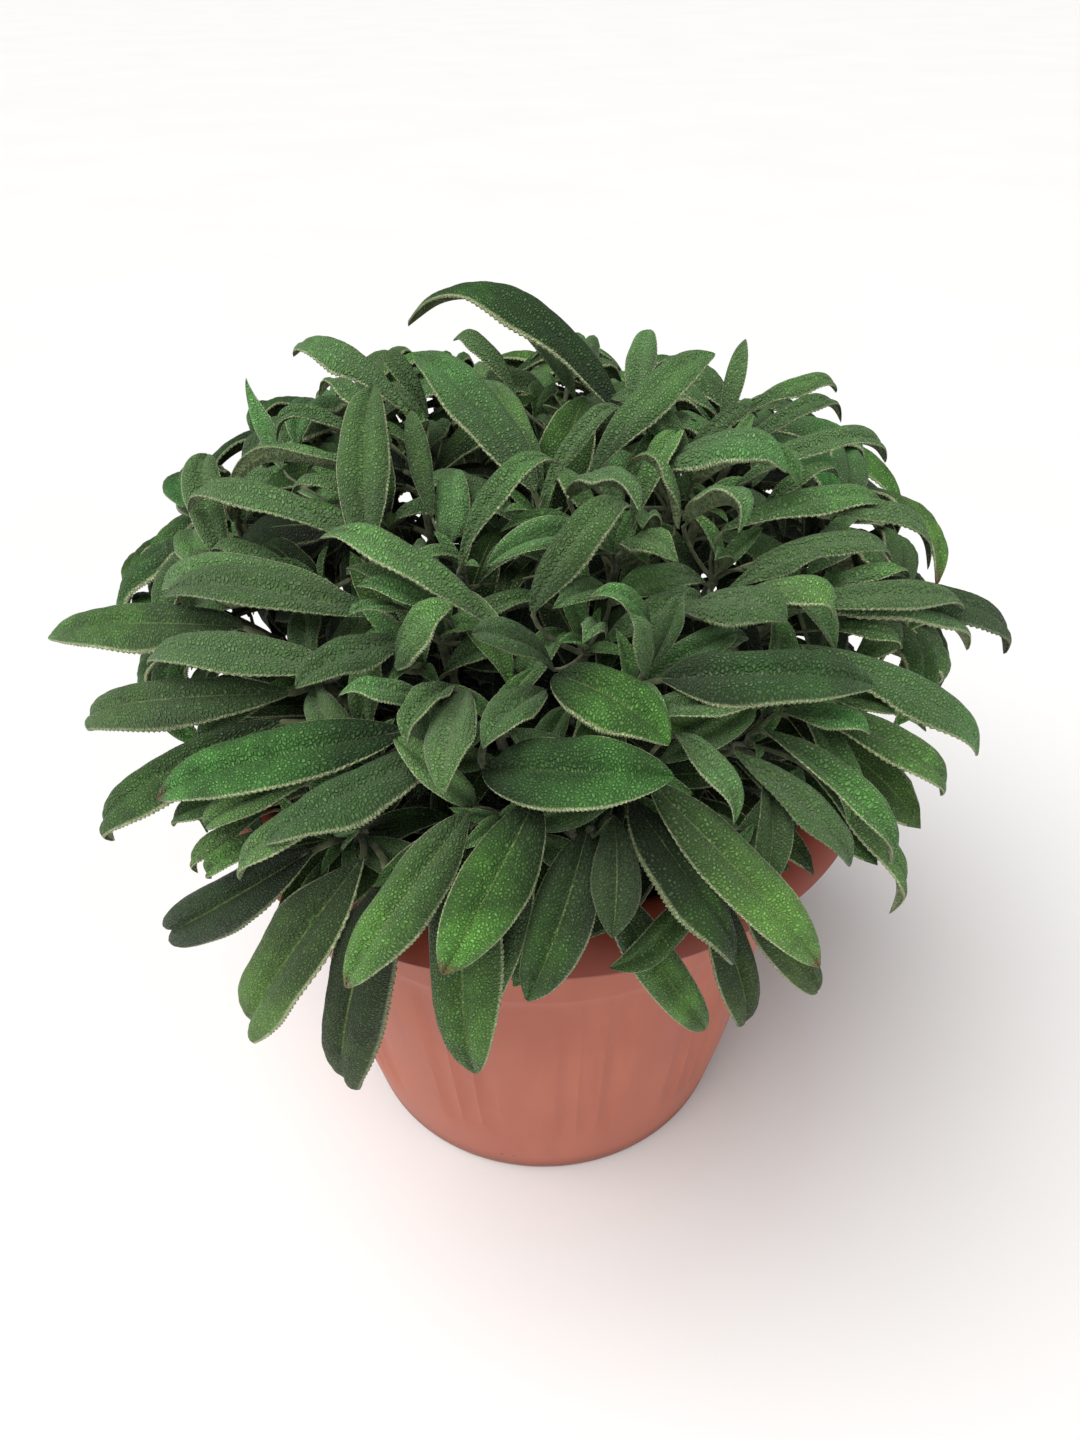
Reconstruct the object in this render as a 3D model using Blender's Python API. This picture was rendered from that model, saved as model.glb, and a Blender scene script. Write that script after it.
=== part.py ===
"""A bushy sage growing in a fluted pot, in metres, +Z up.

The origin is the centre of the pot's underside, and azimuth 0 is the front (-Y), counted
towards the right (+X). The foliage is a mound: a leaf's place on it is an azimuth in degrees
and a reach, the distance in millimetres from the crown down the mound's outline.
"""

import math
from collections import namedtuple

import bmesh
import bpy
from mathutils import Matrix, Vector
from mathutils.bvhtree import BVHTree

MM = 0.001
GAP = 0.3

# Pot, in millimetres
BASE_RADIUS = 71.5
BODY_TOP_RADIUS = 92.6
BODY_TOP = 148.0
COLLAR_RADIUS = 110.0
COLLAR_LOW_EDGE = 150.5
LIP_RADIUS = 98.0
POT_HEIGHT = 164.0
WALL = 2.4
FLOOR = 3.0
FLUTE_GROUPS = 12
FLUTE_FIRST_AZIMUTH = 3.0
FLUTE_SPACING = 5.5
FLUTE_DEPTH = 0.8
FLUTE_LOW_END = 28.0
FLUTE_HIGH_END = 117.0
FLUTE_FADE = 8.0
BODY_BULGE = 3.2
BODY_MIDDLE = 75.0
FOOT_ROUND = 2.0
COLLAR_SLOPE = 3.2
COLLAR_WEB = 7.0
LIP_WIDTH = 3.0
LIP_FALL = 0.6
DRAIN_HOLES = 6
DRAIN_HOLE_RADIUS = 5.0
DRAIN_CIRCLE_RADIUS = 48.0

# Soil, in millimetres
SOIL_TOP = 156.0
SOIL_SEGMENTS = 36
SOIL_GAP = 0.5
SOIL_SHOULDER = 4.0
SOIL_EDGE = 5.0

# Foliage, in millimetres
MOUND_OUTLINE = [
    (0, 288), (30, 286), (60, 280), (90, 268), (115, 250), (135, 226),
    (148, 200), (150, 175), (142, 150), (132, 125), (125, 100), (120, 80),
]
BLADE_DEPTH = -14.0
TIP_BEHIND_ROOTS = 7.0
STEM_RADIUS = 1.7
STEM_TIP_RADIUS = 1.1
STEM_SIDES = 5
STEM_STEPS = 4
STEM_FOOT_RADIUS = 12.0
STEM_FOOT_SPREAD = 0.42
STEM_KNEE_SHARE = 0.45
STEM_KNEE_RISE = 0.14
PETIOLE_WIDTH = 1.5
FIRST_LEAF_BELOW_TIP = 2.5
LEAF_SPACING = 2.3
LEAF_THICKNESS = 1.1
LEAF_CLEARANCE = 0.5
FACING_UP = 0.7
LEAST_JOINED_SHARE = 0.3
BLADE_WIDTHS = [(0.0, 0.22), (0.25, 0.8), (0.52, 0.92), (0.8, 0.62)]

Leaf = namedtuple("Leaf", "tip_az tip_reach root_az root_reach width rise lift roll")


def leaf(tip_az, tip_reach, root_az, root_reach, width, rise=6, lift=0, roll=0):
    return Leaf(tip_az, tip_reach, root_az, root_reach, width, rise, lift, roll)


# The shoots of the front, the sides and the crown, each with its leaves from the outermost in.
FRONT_SHOOTS = [
    [
        leaf(-7, 180, 0, 148, 19, 8, 12),
        leaf(-6, 219, -7, 156, 22, 8, 4),
        leaf(-16, 190, -7, 152, 17, 8, 6),
        leaf(-8, 223, -1, 160, 17, 5, -6),
    ],
    [
        leaf(6, 175, 8, 154, 14, 4, 6),
        leaf(-1, 189, 5, 157, 18, 7, 5),
        leaf(19, 236, 7, 172, 14, 5, -6),
    ],
    [
        leaf(24, 192, 12, 146, 16, 8, 8),
        leaf(17, 187, 10, 150, 19, 7, 3),
        leaf(18, 155, 16, 136, 12, 4, 6),
    ],
    [
        leaf(-24, 268, -15, 170, 18, 10, 2),
        leaf(-39, 264, -18, 168, 18, 12, 0),
        leaf(-48, 231, -24, 170, 15, 8, -2),
        leaf(-34, 184, -29, 168, 10, 4, -6),
        leaf(-38, 188, -32, 166, 9, 4, -9),
    ],
    [
        leaf(23, 236, 17, 172, 12, 6, -4),
        leaf(33, 236, 21, 178, 12, 6, -6),
    ],
    [
        leaf(34, 178, 27, 141, 13, 6, 4),
        leaf(30, 176, 23, 144, 12, 6, 0),
        leaf(40, 204, 32, 154, 11, 6, -4),
        leaf(34, 147, 30, 138, 11, 3, 4),
    ],
    [
        leaf(12, 138, 3, 119, 20, 8, 10),
        leaf(35, 138, 13, 122, 18, 9, 8),
        leaf(28, 134, 12, 129, 12, 4, 2),
        leaf(11, 112, 13, 121, 8, 4, 8),
        leaf(18, 107, 15, 117, 9, 4, 4),
    ],
    [
        leaf(12, 144, -5, 141, 21, 9, 10),
        leaf(-5, 136, 1, 122, 12, 6, 6),
        leaf(-8, 146, -8, 123, 13, 5, 8),
        leaf(-12, 137, -10, 122, 12, 4, 6),
    ],
    [
        leaf(50, 170, 34, 122, 14, 8, 4),
        leaf(44, 173, 33, 138, 14, 8, 0),
        leaf(43, 150, 38, 138, 11, 4, -6),
    ],
    [
        leaf(-9, 109, -17, 118, 14, 5, 8),
        leaf(-19, 128, -12, 126, 9, 4, 8),
        leaf(-25, 130, -18, 112, 14, 4, 4),
        leaf(-21, 113, -18, 104, 7, 2, 6),
    ],
    [
        leaf(-7, 114, 2, 116, 11, 8, 6),
        leaf(14, 86, 0, 101, 14, 10, 8),
        leaf(7, 105, 15, 110, 9, 6, 6),
        leaf(6, 113, 9, 106, 8, 3, 2),
        leaf(3, 104, 12, 96, 10, 4, 0),
    ],
    [
        leaf(-28.5, 97, -5, 107, 13, 8, 10),
        leaf(-50, 124, -23, 106, 13, 8, 4),
        leaf(-55, 125, -28, 103, 11, 10, 0),
        leaf(-22, 105, -12, 104, 8, 4, 4),
        leaf(-26, 100, -13, 103, 8, 4, 0),
    ],
    [
        leaf(-47, 138, -26, 122, 14, 8, 4),
        leaf(-70, 161, -42, 121, 12, 6, 6),
        leaf(-58, 169, -32, 132, 14, 10, 0),
    ],
    [
        leaf(-38, 164, -15, 134, 18, 8, 6),
        leaf(-50, 193, -32, 140, 11, 12, -2),
        leaf(-25, 164, -11, 138, 17, 6, 2),
        leaf(-34, 170, -20, 142, 12, 7, 0),
        leaf(-29.5, 177, -18, 147, 13, 7, -3),
        leaf(-41, 177, -31, 156, 11, 4, -8),
    ],
    [
        leaf(-58, 105, -31, 87, 12, 10, 4),
        leaf(-68, 92, -52, 110, 13, 6, 4),
        leaf(-60, 120, -50, 107, 11, 4, -4),
        leaf(-47, 90, -33, 82, 11, 4, -4),
        leaf(-54, 109, -44, 100, 8, 3, -4),
    ],
    [
        leaf(-55, 97, -39, 67, 11, 10, 2),
        leaf(-62, 78, -50, 58, 9, 8, 2),
        leaf(-46, 86, -36, 73, 9, 6, -2),
        leaf(-85, 80, -64, 80, 7, -5, 8),
        leaf(-55, 75, -42, 66, 9, 4, -6),
    ],
    [
        leaf(-95, 68, -63, 41, 14, 8, 6),
        leaf(-78, 60, -56, 50, 10, 6, 0),
        leaf(-80, 42, -60, 36, 9, 5, 2),
    ],
    [
        leaf(-41, 56, -27, 92, 16, 4, 12),
        leaf(5, 70, -12, 88, 11, 9, 6),
        leaf(-36, 52, -22, 72, 8, 3, 2),
        leaf(-5, 88, 3, 84, 7, 2, -4),
    ],
    [
        leaf(-65, 35, 0, 62, 17, 5, 6),
        leaf(22, 55, 2, 67, 8, 5, 8),
        leaf(-35, 22, 2, 56, 11, 4, -3),
    ],
    [
        leaf(-115, 40, 45, 34, 10, 15, 6),
        leaf(-168, 40, 60, 14, 13, 6, 0, -25),
        leaf(-85, 22, -30, 12, 10, 5, 2),
        leaf(105, 33, 62, 32, 11, 2, 3),
    ],
    [
        leaf(68, 50, 15, 58, 14, 6, 8),
        leaf(97, 93, 80, 62, 9, 4, 4),
        leaf(80, 87, 58, 67, 8, 6, 4),
        leaf(60, 67, 43, 60, 8, 5, 2),
        leaf(80, 55, 60, 60, 6, 2, 10),
        leaf(55, 53, 30, 52, 9, 3, -4),
    ],
    [
        leaf(43, 87, 32, 62, 16, 8, 8),
        leaf(46, 91, 41, 67, 12, 8, 3),
        leaf(72, 102, 48, 75, 12, 8, 4),
        leaf(60, 92, 50, 84, 8, 4, 0),
    ],
    [
        leaf(29, 97, 29, 81, 13, 7, 8),
        leaf(63, 127, 50, 88, 12, 8, 2),
        leaf(62, 108, 37, 85, 12, 5, -2),
        leaf(42, 107, 31, 102, 9, 4, 2),
        leaf(59, 118, 40, 96, 9, 6, -4),
    ],
    [
        leaf(34, 121, 28, 107, 12, 8, 10),
        leaf(28, 119, 22, 106, 15, 6, 8),
        leaf(69, 165, 48, 114, 11, 9, 2),
        leaf(58, 138, 37, 113, 12, 6, 4),
        leaf(63, 152, 39, 113, 11, 7, -2),
        leaf(50, 138, 44, 122, 8, 4, -7),
        leaf(58, 124, 47, 112, 8, 4, -8),
    ],
    [
        leaf(16, 87, 8, 66, 13, 5, 8),
        leaf(18, 72, 27, 81, 9, 6, 6),
        leaf(19, 97, 16, 84, 13, 3, 2),
        leaf(17, 85, 24, 77, 9, 2, 0),
        leaf(-5, 82, 12, 79, 9, 3, -2),
    ],
]

# The shoots round the back: azimuth and reach of the tip, largest leaf, and inset of the leaves.
BACK_SHOOTS = [
    (78, 148, 50, -28), (100, 172, 62, -20), (124, 184, 66, -12), (148, 174, 64, -12),
    (172, 186, 66, -12), (-164, 174, 64, -12), (-140, 186, 66, -12), (-118, 174, 64, -12),
    (-96, 170, 62, -26), (-76, 150, 50, -32),
    (84, 114, 50, -20), (108, 126, 60, -14), (136, 130, 62, -12), (164, 124, 60, -12),
    (-166, 130, 62, -12), (-138, 124, 60, -12), (-110, 130, 60, -14), (-86, 118, 50, -20),
    (104, 74, 50, -16), (150, 78, 56, -18), (-168, 74, 54, -18), (-124, 78, 52, -18),
    (160, 26, 46, -20),
]
BACK_LEAVES = [(0, 2), (52, -3), (-50, 0), (104, 3), (-100, -6), (152, -2), (-155, -9)]
BACK_LEAF_SLIMNESS = 0.35
BACK_LEAF_BOW = 0.14
BACK_LEAF_ROOT = 8
UPPER_LEAF_LOSS = 0.3
SIZE_SPREAD = 0.08
BEARING_SPREAD = 12

# The shaded leaves under those that show: bearing and lift off the mound.
INNER_LEAVES = [(70, -15), (250, -15), (160, -23)]
INNER_LEAF_SIZES = (38, 12, 5, 6)
INNER_BEARING_STEP = 3
CROWN_REACH = 70
CROWN_INNER_LIFT = -12
HIGHEST_REACH = 3
LOWEST_REACH = 284
LEAST_CIRCLE = 30


def corner_cut(points, rounds=4):
    """The outline with its corners cut again and again, which leaves a smooth curve."""
    for _ in range(rounds):
        cut = [points[0]]
        for (r0, z0), (r1, z1) in zip(points[:-1], points[1:]):
            cut.append((0.75 * r0 + 0.25 * r1, 0.75 * z0 + 0.25 * z1))
            cut.append((0.25 * r0 + 0.75 * r1, 0.25 * z0 + 0.75 * z1))
        cut.append(points[-1])
        points = cut
    return points


def along_outline(points, reach):
    """(radius, height, slope) at a distance along an outline of (radius, height) points."""
    for (r0, z0), (r1, z1) in zip(points[:-1], points[1:]):
        step = math.hypot(r1 - r0, z1 - z0)
        if reach <= step:
            break
        reach -= step
    share = reach / step
    slope = ((r1 - r0) / step, (z1 - z0) / step)
    return r0 + share * (r1 - r0), z0 + share * (z1 - z0), slope


MOUND = corner_cut(MOUND_OUTLINE)


def mound_place(azimuth, reach, lift=0.0):
    """The point and the outward normal of the mound, the point lifted off it."""
    radius, height, (out, up) = along_outline(MOUND, max(reach, 0.0))
    turn = math.radians(azimuth)
    radius -= up * lift
    height += out * lift
    point = Vector((radius * math.sin(turn), -radius * math.cos(turn), height))
    normal = Vector((-up * math.sin(turn), up * math.cos(turn), out))
    return point, normal


def new_object(name, bm, material):
    mesh = bpy.data.meshes.new(name)
    bmesh.ops.scale(bm, vec=(MM, MM, MM), verts=bm.verts)
    bmesh.ops.recalc_face_normals(bm, faces=bm.faces)
    bm.to_mesh(mesh)
    bm.free()
    mesh.materials.append(material)
    mesh.shade_smooth()
    mesh.set_sharp_from_angle(angle=math.radians(35))
    made = bpy.data.objects.new(name, mesh)
    bpy.context.scene.collection.objects.link(made)
    return made


def new_material(name, colour, roughness):
    material = bpy.data.materials.new(name)
    material.use_nodes = True
    shader = material.node_tree.nodes["Principled BSDF"]
    shader.inputs["Base Color"].default_value = (*colour, 1)
    shader.inputs["Roughness"].default_value = roughness
    shader.inputs["Metallic"].default_value = 0.0
    return material


def bridge_rings(bm, rings):
    for low, high in zip(rings[:-1], rings[1:]):
        count = len(low)
        for i in range(count):
            j = (i + 1) % count
            bm.faces.new((low[i], low[j], high[j], high[i]))


# --- Pot ---


def pot_azimuths():
    """The azimuths of the pot's facets, and how deep each one is sunk: 1 in a flute's middle."""
    facets = []
    pitch = 360 / FLUTE_GROUPS
    for group in range(FLUTE_GROUPS):
        start = FLUTE_FIRST_AZIMUTH + group * pitch
        for step in range(7):
            facets.append((start + step * FLUTE_SPACING / 2, step % 2))
        facets.append((start + (3 * FLUTE_SPACING + pitch) / 2, 0))
    return facets


def body_radius(height):
    """The tapering body's outer radius, slightly bulging between its base and its top."""
    share = height / BODY_TOP
    bulge = BODY_BULGE * math.sin(math.pi * share) * (1 - 0.35 * share)
    return BASE_RADIUS + (BODY_TOP_RADIUS - BASE_RADIUS) * share + bulge


def pot_outline():
    """(radius, height, flute depth) from the underside, up the outside and down the inside."""
    low, high = FLUTE_LOW_END + FLUTE_FADE, FLUTE_HIGH_END - FLUTE_FADE / 2
    outside = [
        (BASE_RADIUS - FOOT_ROUND * 0.75, 0.0, 0.0),
        (BASE_RADIUS + FOOT_ROUND * 0.3, FOOT_ROUND, 0.0),
        (body_radius(FLUTE_LOW_END), FLUTE_LOW_END, 0.0),
        (body_radius(low), low, FLUTE_DEPTH),
        (body_radius(BODY_MIDDLE), BODY_MIDDLE, FLUTE_DEPTH),
        (body_radius(high), high, FLUTE_DEPTH),
        (body_radius(FLUTE_HIGH_END), FLUTE_HIGH_END, 0.0),
        (BODY_TOP_RADIUS, BODY_TOP, 0.0),
    ]
    web = COLLAR_LOW_EDGE + COLLAR_WEB
    collar = [
        (BODY_TOP_RADIUS + WALL / 3, web, 0.0),
        (COLLAR_RADIUS - 1.5 * WALL, web - WALL + GAP, 0.0),
        (COLLAR_RADIUS - WALL, COLLAR_LOW_EDGE, 0.0),
        (COLLAR_RADIUS, COLLAR_LOW_EDGE, 0.0),
        (COLLAR_RADIUS - COLLAR_SLOPE, web + WALL / 2, 0.0),
        (LIP_RADIUS, POT_HEIGHT, 0.0),
        (LIP_RADIUS - LIP_WIDTH, POT_HEIGHT - LIP_FALL, 0.0),
    ]
    inside = [
        (BODY_TOP_RADIUS - WALL, web - LIP_WIDTH, 0.0),
        (body_radius(BODY_MIDDLE) - WALL, BODY_MIDDLE, 0.0),
        (BASE_RADIUS - WALL + LIP_FALL, FLOOR, 0.0),
    ]
    return outside + collar + inside


def drain_hole_cutter(index):
    turn = 2 * math.pi * index / DRAIN_HOLES
    bm = bmesh.new()
    bmesh.ops.create_cone(
        bm, cap_ends=True, segments=16, radius1=DRAIN_HOLE_RADIUS, radius2=DRAIN_HOLE_RADIUS,
        depth=4 * FLOOR,
    )
    place = (DRAIN_CIRCLE_RADIUS * math.sin(turn), DRAIN_CIRCLE_RADIUS * math.cos(turn), 0.0)
    bmesh.ops.translate(bm, vec=place, verts=bm.verts)
    cutter = new_object(f"cutter_drain_hole_{index + 1}", bm, bpy.data.materials["pot_plastic"])
    cutter.hide_render = True
    cutter.display_type = "WIRE"
    return cutter


def make_pot(material):
    bm = bmesh.new()
    facets = pot_azimuths()
    rings = []
    for radius, height, depth in pot_outline():
        ring = []
        for azimuth, sunk in facets:
            turn = math.radians(azimuth)
            away = radius - depth * sunk
            ring.append(bm.verts.new((away * math.sin(turn), -away * math.cos(turn), height)))
        rings.append(ring)
    bridge_rings(bm, rings)
    bm.faces.new(rings[0])
    bm.faces.new(rings[-1])
    pot = new_object("pot", bm, material)
    for index in range(DRAIN_HOLES):
        cut = pot.modifiers.new(f"drain_hole_{index + 1}", "BOOLEAN")
        cut.operation = "DIFFERENCE"
        cut.object = drain_hole_cutter(index)
    return pot


# --- Soil ---


def make_soil(material):
    """The root ball: it fills the pot up to a little below the lip, with a gap to the wall."""
    bm = bmesh.new()
    walls = [
        (BASE_RADIUS - WALL, FLOOR + GAP),
        (body_radius(BODY_MIDDLE) - WALL - SOIL_GAP, BODY_MIDDLE),
        (BODY_TOP_RADIUS - WALL - SOIL_GAP, BODY_TOP + SOIL_SHOULDER),
        (BODY_TOP_RADIUS - WALL - SOIL_EDGE, SOIL_TOP),
    ]
    rings = [ring_of(bm, radius, height, SOIL_SEGMENTS) for radius, height in walls]
    bridge_rings(bm, rings)
    bm.faces.new(rings[0])
    bm.faces.new(rings[-1])
    return new_object("potting_soil", bm, material)


def ring_of(bm, radius, height, segments):
    ring = []
    for i in range(segments):
        turn = 2 * math.pi * i / segments
        ring.append(bm.verts.new((radius * math.sin(turn), -radius * math.cos(turn), height)))
    return ring


# --- Shoots ---


def shoot_tip(shoot):
    """The stem's end: behind the middle of its leaves' roots."""
    middle = Vector((0, 0, 0))
    inward = Vector((0, 0, 0))
    for row in shoot:
        root, normal = mound_place(row.root_az, row.root_reach, BLADE_DEPTH + row.lift / 2)
        middle += root / len(shoot)
        inward -= normal / len(shoot)
    return middle + inward * TIP_BEHIND_ROOTS


def stem_route(shoot):
    """Points from the soil up to the shoot's tip: out of the soil steeply, then leaning out."""
    tip = shoot_tip(shoot)
    spread = STEM_FOOT_RADIUS + STEM_FOOT_SPREAD * math.hypot(tip.x, tip.y)
    turn = math.atan2(tip.x, -tip.y)
    foot = Vector((spread * math.sin(turn), -spread * math.cos(turn), SOIL_TOP + GAP))
    rise = STEM_KNEE_RISE * (tip - foot).length
    knee = foot.lerp(tip, STEM_KNEE_SHARE) + Vector((0, 0, rise))
    return [bezier_point(foot, knee, tip, step / STEM_STEPS) for step in range(STEM_STEPS + 1)]


def bezier_point(start, middle, end, share):
    return start * (1 - share) ** 2 + middle * (2 * share * (1 - share)) + end * share ** 2


def frame_at(route, index):
    """Two directions across the route at one of its points."""
    ahead = route[min(index + 1, len(route) - 1)] - route[max(index - 1, 0)]
    ahead.normalize()
    side = Vector((1, 0, 0)) - ahead * ahead.x
    side.normalize()
    return side, ahead.cross(side)


def stem_solid(route):
    bm = bmesh.new()
    rings = []
    for index, point in enumerate(route):
        side, across = frame_at(route, index)
        radius = STEM_RADIUS + (STEM_TIP_RADIUS - STEM_RADIUS) * index / (len(route) - 1)
        ring = []
        for corner in range(STEM_SIDES):
            turn = 2 * math.pi * corner / STEM_SIDES
            away = side * math.cos(turn) + across * math.sin(turn)
            if index == 0:
                away = Vector((math.cos(turn), math.sin(turn), 0))
            ring.append(bm.verts.new(point + away * radius))
        rings.append(ring)
    bridge_rings(bm, rings)
    bm.faces.new(rings[0])
    bm.faces.new(rings[-1])
    return bm


def below_tip(route, distance):
    """The point on the stem this far down from its tip."""
    for high, low in zip(route[::-1], route[-2::-1]):
        step = (high - low).length
        if distance <= step:
            break
        distance -= step
    return high.lerp(low, distance / step)


def turned_to(normal, ahead, further):
    """The normal carried along the leaf from one direction to the next, without twisting."""
    return ahead.rotation_difference(further) @ normal


def leaf_spine(row, route, place):
    """[(point, direction, normal, width)] of a leaf, from inside its stem to its tip."""
    root, root_normal = mound_place(row.root_az, row.root_reach, BLADE_DEPTH + row.lift / 2)
    tip, tip_normal = mound_place(row.tip_az, row.tip_reach, row.lift)
    bow = (root_normal + tip_normal).normalized()
    middle = (root + tip) / 2 + bow * 2 * row.rise
    foot = below_tip(route, FIRST_LEAF_BELOW_TIP + place * LEAF_SPACING)
    points = [foot]
    widths = [PETIOLE_WIDTH]
    for share, wide in BLADE_WIDTHS:
        points.append(bezier_point(root, middle, tip, share))
        widths.append(row.width * wide)
    points.append(tip)
    widths.append(0.0)
    runs = [(b - a).normalized() for a, b in zip(points[:-1], points[1:])]
    aheads = [runs[0]] + [(a + b).normalized() for a, b in zip(runs[:-1], runs[1:])] + [runs[-1]]
    centre = len(points) // 2
    normal = bow + Vector((0, 0, FACING_UP))
    normal -= aheads[centre] * normal.dot(aheads[centre])
    normal = Matrix.Rotation(math.radians(row.roll), 3, aheads[centre]) @ normal.normalized()
    normals = {centre: normal}
    for index in range(centre + 1, len(points)):
        normals[index] = turned_to(normals[index - 1], aheads[index - 1], aheads[index])
    for index in range(centre - 1, -1, -1):
        normals[index] = turned_to(normals[index + 1], aheads[index + 1], aheads[index])
    return [(points[i], aheads[i], normals[i], widths[i]) for i in range(len(points))]


def leaf_solid(spine, spare=0.0):
    """A leaf as a closed blade, flat above with its midrib standing out below; spare fattens it."""
    bm = bmesh.new()
    rings = []
    for index, (point, ahead, normal, wide) in enumerate(spine[:-1]):
        side = ahead.cross(normal)
        half = wide / 2 + spare
        top = normal * (LEAF_THICKNESS / 2 + spare)
        corners = (side * half + top, -side * half + top, -top)
        rings.append([bm.verts.new(point + corner) for corner in corners])
    bridge_rings(bm, rings)
    bm.faces.new(rings[0])
    point, ahead = spine[-1][:2]
    end = bm.verts.new(point + ahead * spare)
    last = rings[-1]
    for i in range(3):
        bm.faces.new((last[i], last[(i + 1) % 3], end))
    bmesh.ops.recalc_face_normals(bm, faces=bm.faces)
    return bm


def box_of(points):
    low = Vector([min(p[i] for p in points) for i in range(3)])
    high = Vector([max(p[i] for p in points) for i in range(3)])
    return low, high


def boxes_meet(a, b):
    return all(a[0][i] <= b[1][i] and b[0][i] <= a[1][i] for i in range(3))


class Obstacle:
    """A placed piece that a later leaf has to stay clear of."""

    def __init__(self, bm, shoot):
        self.tree = BVHTree.FromBMesh(bm)
        self.box = box_of([v.co for v in bm.verts])
        self.shoot = shoot


def free_part(spine, own):
    """The leaf without its base, which may touch the leaves beside it on its own stem."""
    return spine if not own else spine[2:]


def clear_of(spine, shoot, obstacles):
    tests = {}
    for own in (False, True):
        bm = leaf_solid(free_part(spine, own), LEAF_CLEARANCE)
        tests[own] = (BVHTree.FromBMesh(bm), box_of([v.co for v in bm.verts]))
        bm.free()
    for obstacle in obstacles:
        own = obstacle.shoot == shoot
        tree, box = tests[own]
        if boxes_meet(box, obstacle.box) and tree.overlap(obstacle.tree):
            return False
    return True


def settle_moves():
    """Small changes of (lift, roll, azimuth, reach, rise) for a leaf, the smallest first."""
    moves = []
    for lift in (0, 2, -2, 4, -4, 6, -6, 9, -9, 12):
        for roll in (0, 14, -14, 28, -28):
            for azimuth, reach in ((0, 0), (2, 0), (-2, 0), (0, 4), (0, -4)):
                for rise in (0, 3):
                    size = abs(lift) + abs(roll) / 7 + abs(azimuth) * 1.5 + abs(reach) + rise
                    moves.append((size, len(moves), (lift, roll, azimuth, reach, rise)))
    return [move for _, _, move in sorted(moves)]


MOVES = settle_moves()


def settle_leaf(row, place, shoot, route, obstacles):
    """The leaf's spine after the smallest move that keeps it clear, or None if there's no room."""
    for lift, roll, azimuth, reach, rise in MOVES:
        moved = row._replace(
            lift=row.lift + lift, roll=row.roll + roll, tip_az=row.tip_az + azimuth,
            tip_reach=row.tip_reach + reach, rise=row.rise + rise,
        )
        spine = leaf_spine(moved, route, place)
        if clear_of(spine, shoot, obstacles):
            return spine
    return None


def spread_leaf(azimuth, reach, bearing, sizes, lift):
    """A leaf that lies away from a shoot's tip; bearing 0 is straight down the mound."""
    length, width, rise, root = sizes
    around = max(along_outline(MOUND, reach)[0], LEAST_CIRCLE)
    ends = []
    for away in (length, root):
        ends.append(azimuth + math.degrees(away * math.sin(bearing) / around))
        ends.append(min(max(reach + away * math.cos(bearing), HIGHEST_REACH), LOWEST_REACH))
    return leaf(*ends, width, rise, lift)


def back_shoot(azimuth, reach, length, inset):
    """A shoot whose leaves stand all round its tip, the upper ones smaller."""
    leaves = []
    for index, (turn, lift) in enumerate(BACK_LEAVES):
        size = length * (1 - UPPER_LEAF_LOSS * (turn / 180) ** 2)
        size *= 1 + SIZE_SPREAD * math.sin(azimuth + 2 * index)
        bearing = math.radians(turn + BEARING_SPREAD * math.sin(azimuth + index))
        sizes = (size, BACK_LEAF_SLIMNESS * size, BACK_LEAF_BOW * size, BACK_LEAF_ROOT)
        leaves.append(spread_leaf(azimuth, reach, bearing, sizes, inset + lift))
    return leaves


def inner_leaves(shoot):
    """The short shaded leaves lower on a front shoot's stem, under those that show."""
    azimuth = sum(row.root_az for row in shoot) / len(shoot)
    reach = sum(row.root_reach for row in shoot) / len(shoot)
    leaves = []
    for turn, lift in INNER_LEAVES:
        if reach < CROWN_REACH:
            lift += CROWN_INNER_LIFT
        bearing = math.radians(turn + azimuth * INNER_BEARING_STEP)
        leaves.append(spread_leaf(azimuth, reach, bearing, INNER_LEAF_SIZES, lift))
    return leaves


def volume_if_whole(mesh):
    """The mesh's volume, or 0 if it isn't one connected body."""
    bm = bmesh.new()
    bm.from_mesh(mesh)
    volume = bm.calc_volume()
    seen = {bm.verts[:][0]}
    edge = list(seen)
    while edge:
        near = {link.other_vert(vert) for vert in edge for link in vert.link_edges} - seen
        seen |= near
        edge = list(near)
    whole = len(seen) == len(bm.verts)
    bm.free()
    return volume if whole else 0.0


def join_leaf(made, solid, material):
    """Unites a leaf with its shoot, with the second solver where the first one loses a piece."""
    helper = new_object("leaf_to_join", solid, material)
    before = made.data.copy()
    least = volume_if_whole(before) + LEAST_JOINED_SHARE * volume_if_whole(helper.data)
    for solver in ("EXACT", "MANIFOLD"):
        union = made.modifiers.new("join_leaf", "BOOLEAN")
        union.operation = "UNION"
        union.solver = solver
        union.object = helper
        bpy.context.view_layer.objects.active = made
        bpy.ops.object.modifier_apply(modifier=union.name)
        if volume_if_whole(made.data) >= least:
            break
        made.data = before.copy()
    else:
        print(f"a leaf could not be joined to {made.name}")
    bpy.data.objects.remove(helper)


def join_solids(name, solids, material):
    """One closed body: the stem with each leaf joined to it."""
    made = new_object(name, solids[0], material)
    for solid in solids[1:]:
        join_leaf(made, solid, material)
    return made


def solid_of_object(made):
    bm = bmesh.new()
    bm.from_object(made, bpy.context.evaluated_depsgraph_get())
    bmesh.ops.scale(bm, vec=(1 / MM, 1 / MM, 1 / MM), verts=bm.verts)
    return bm


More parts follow.
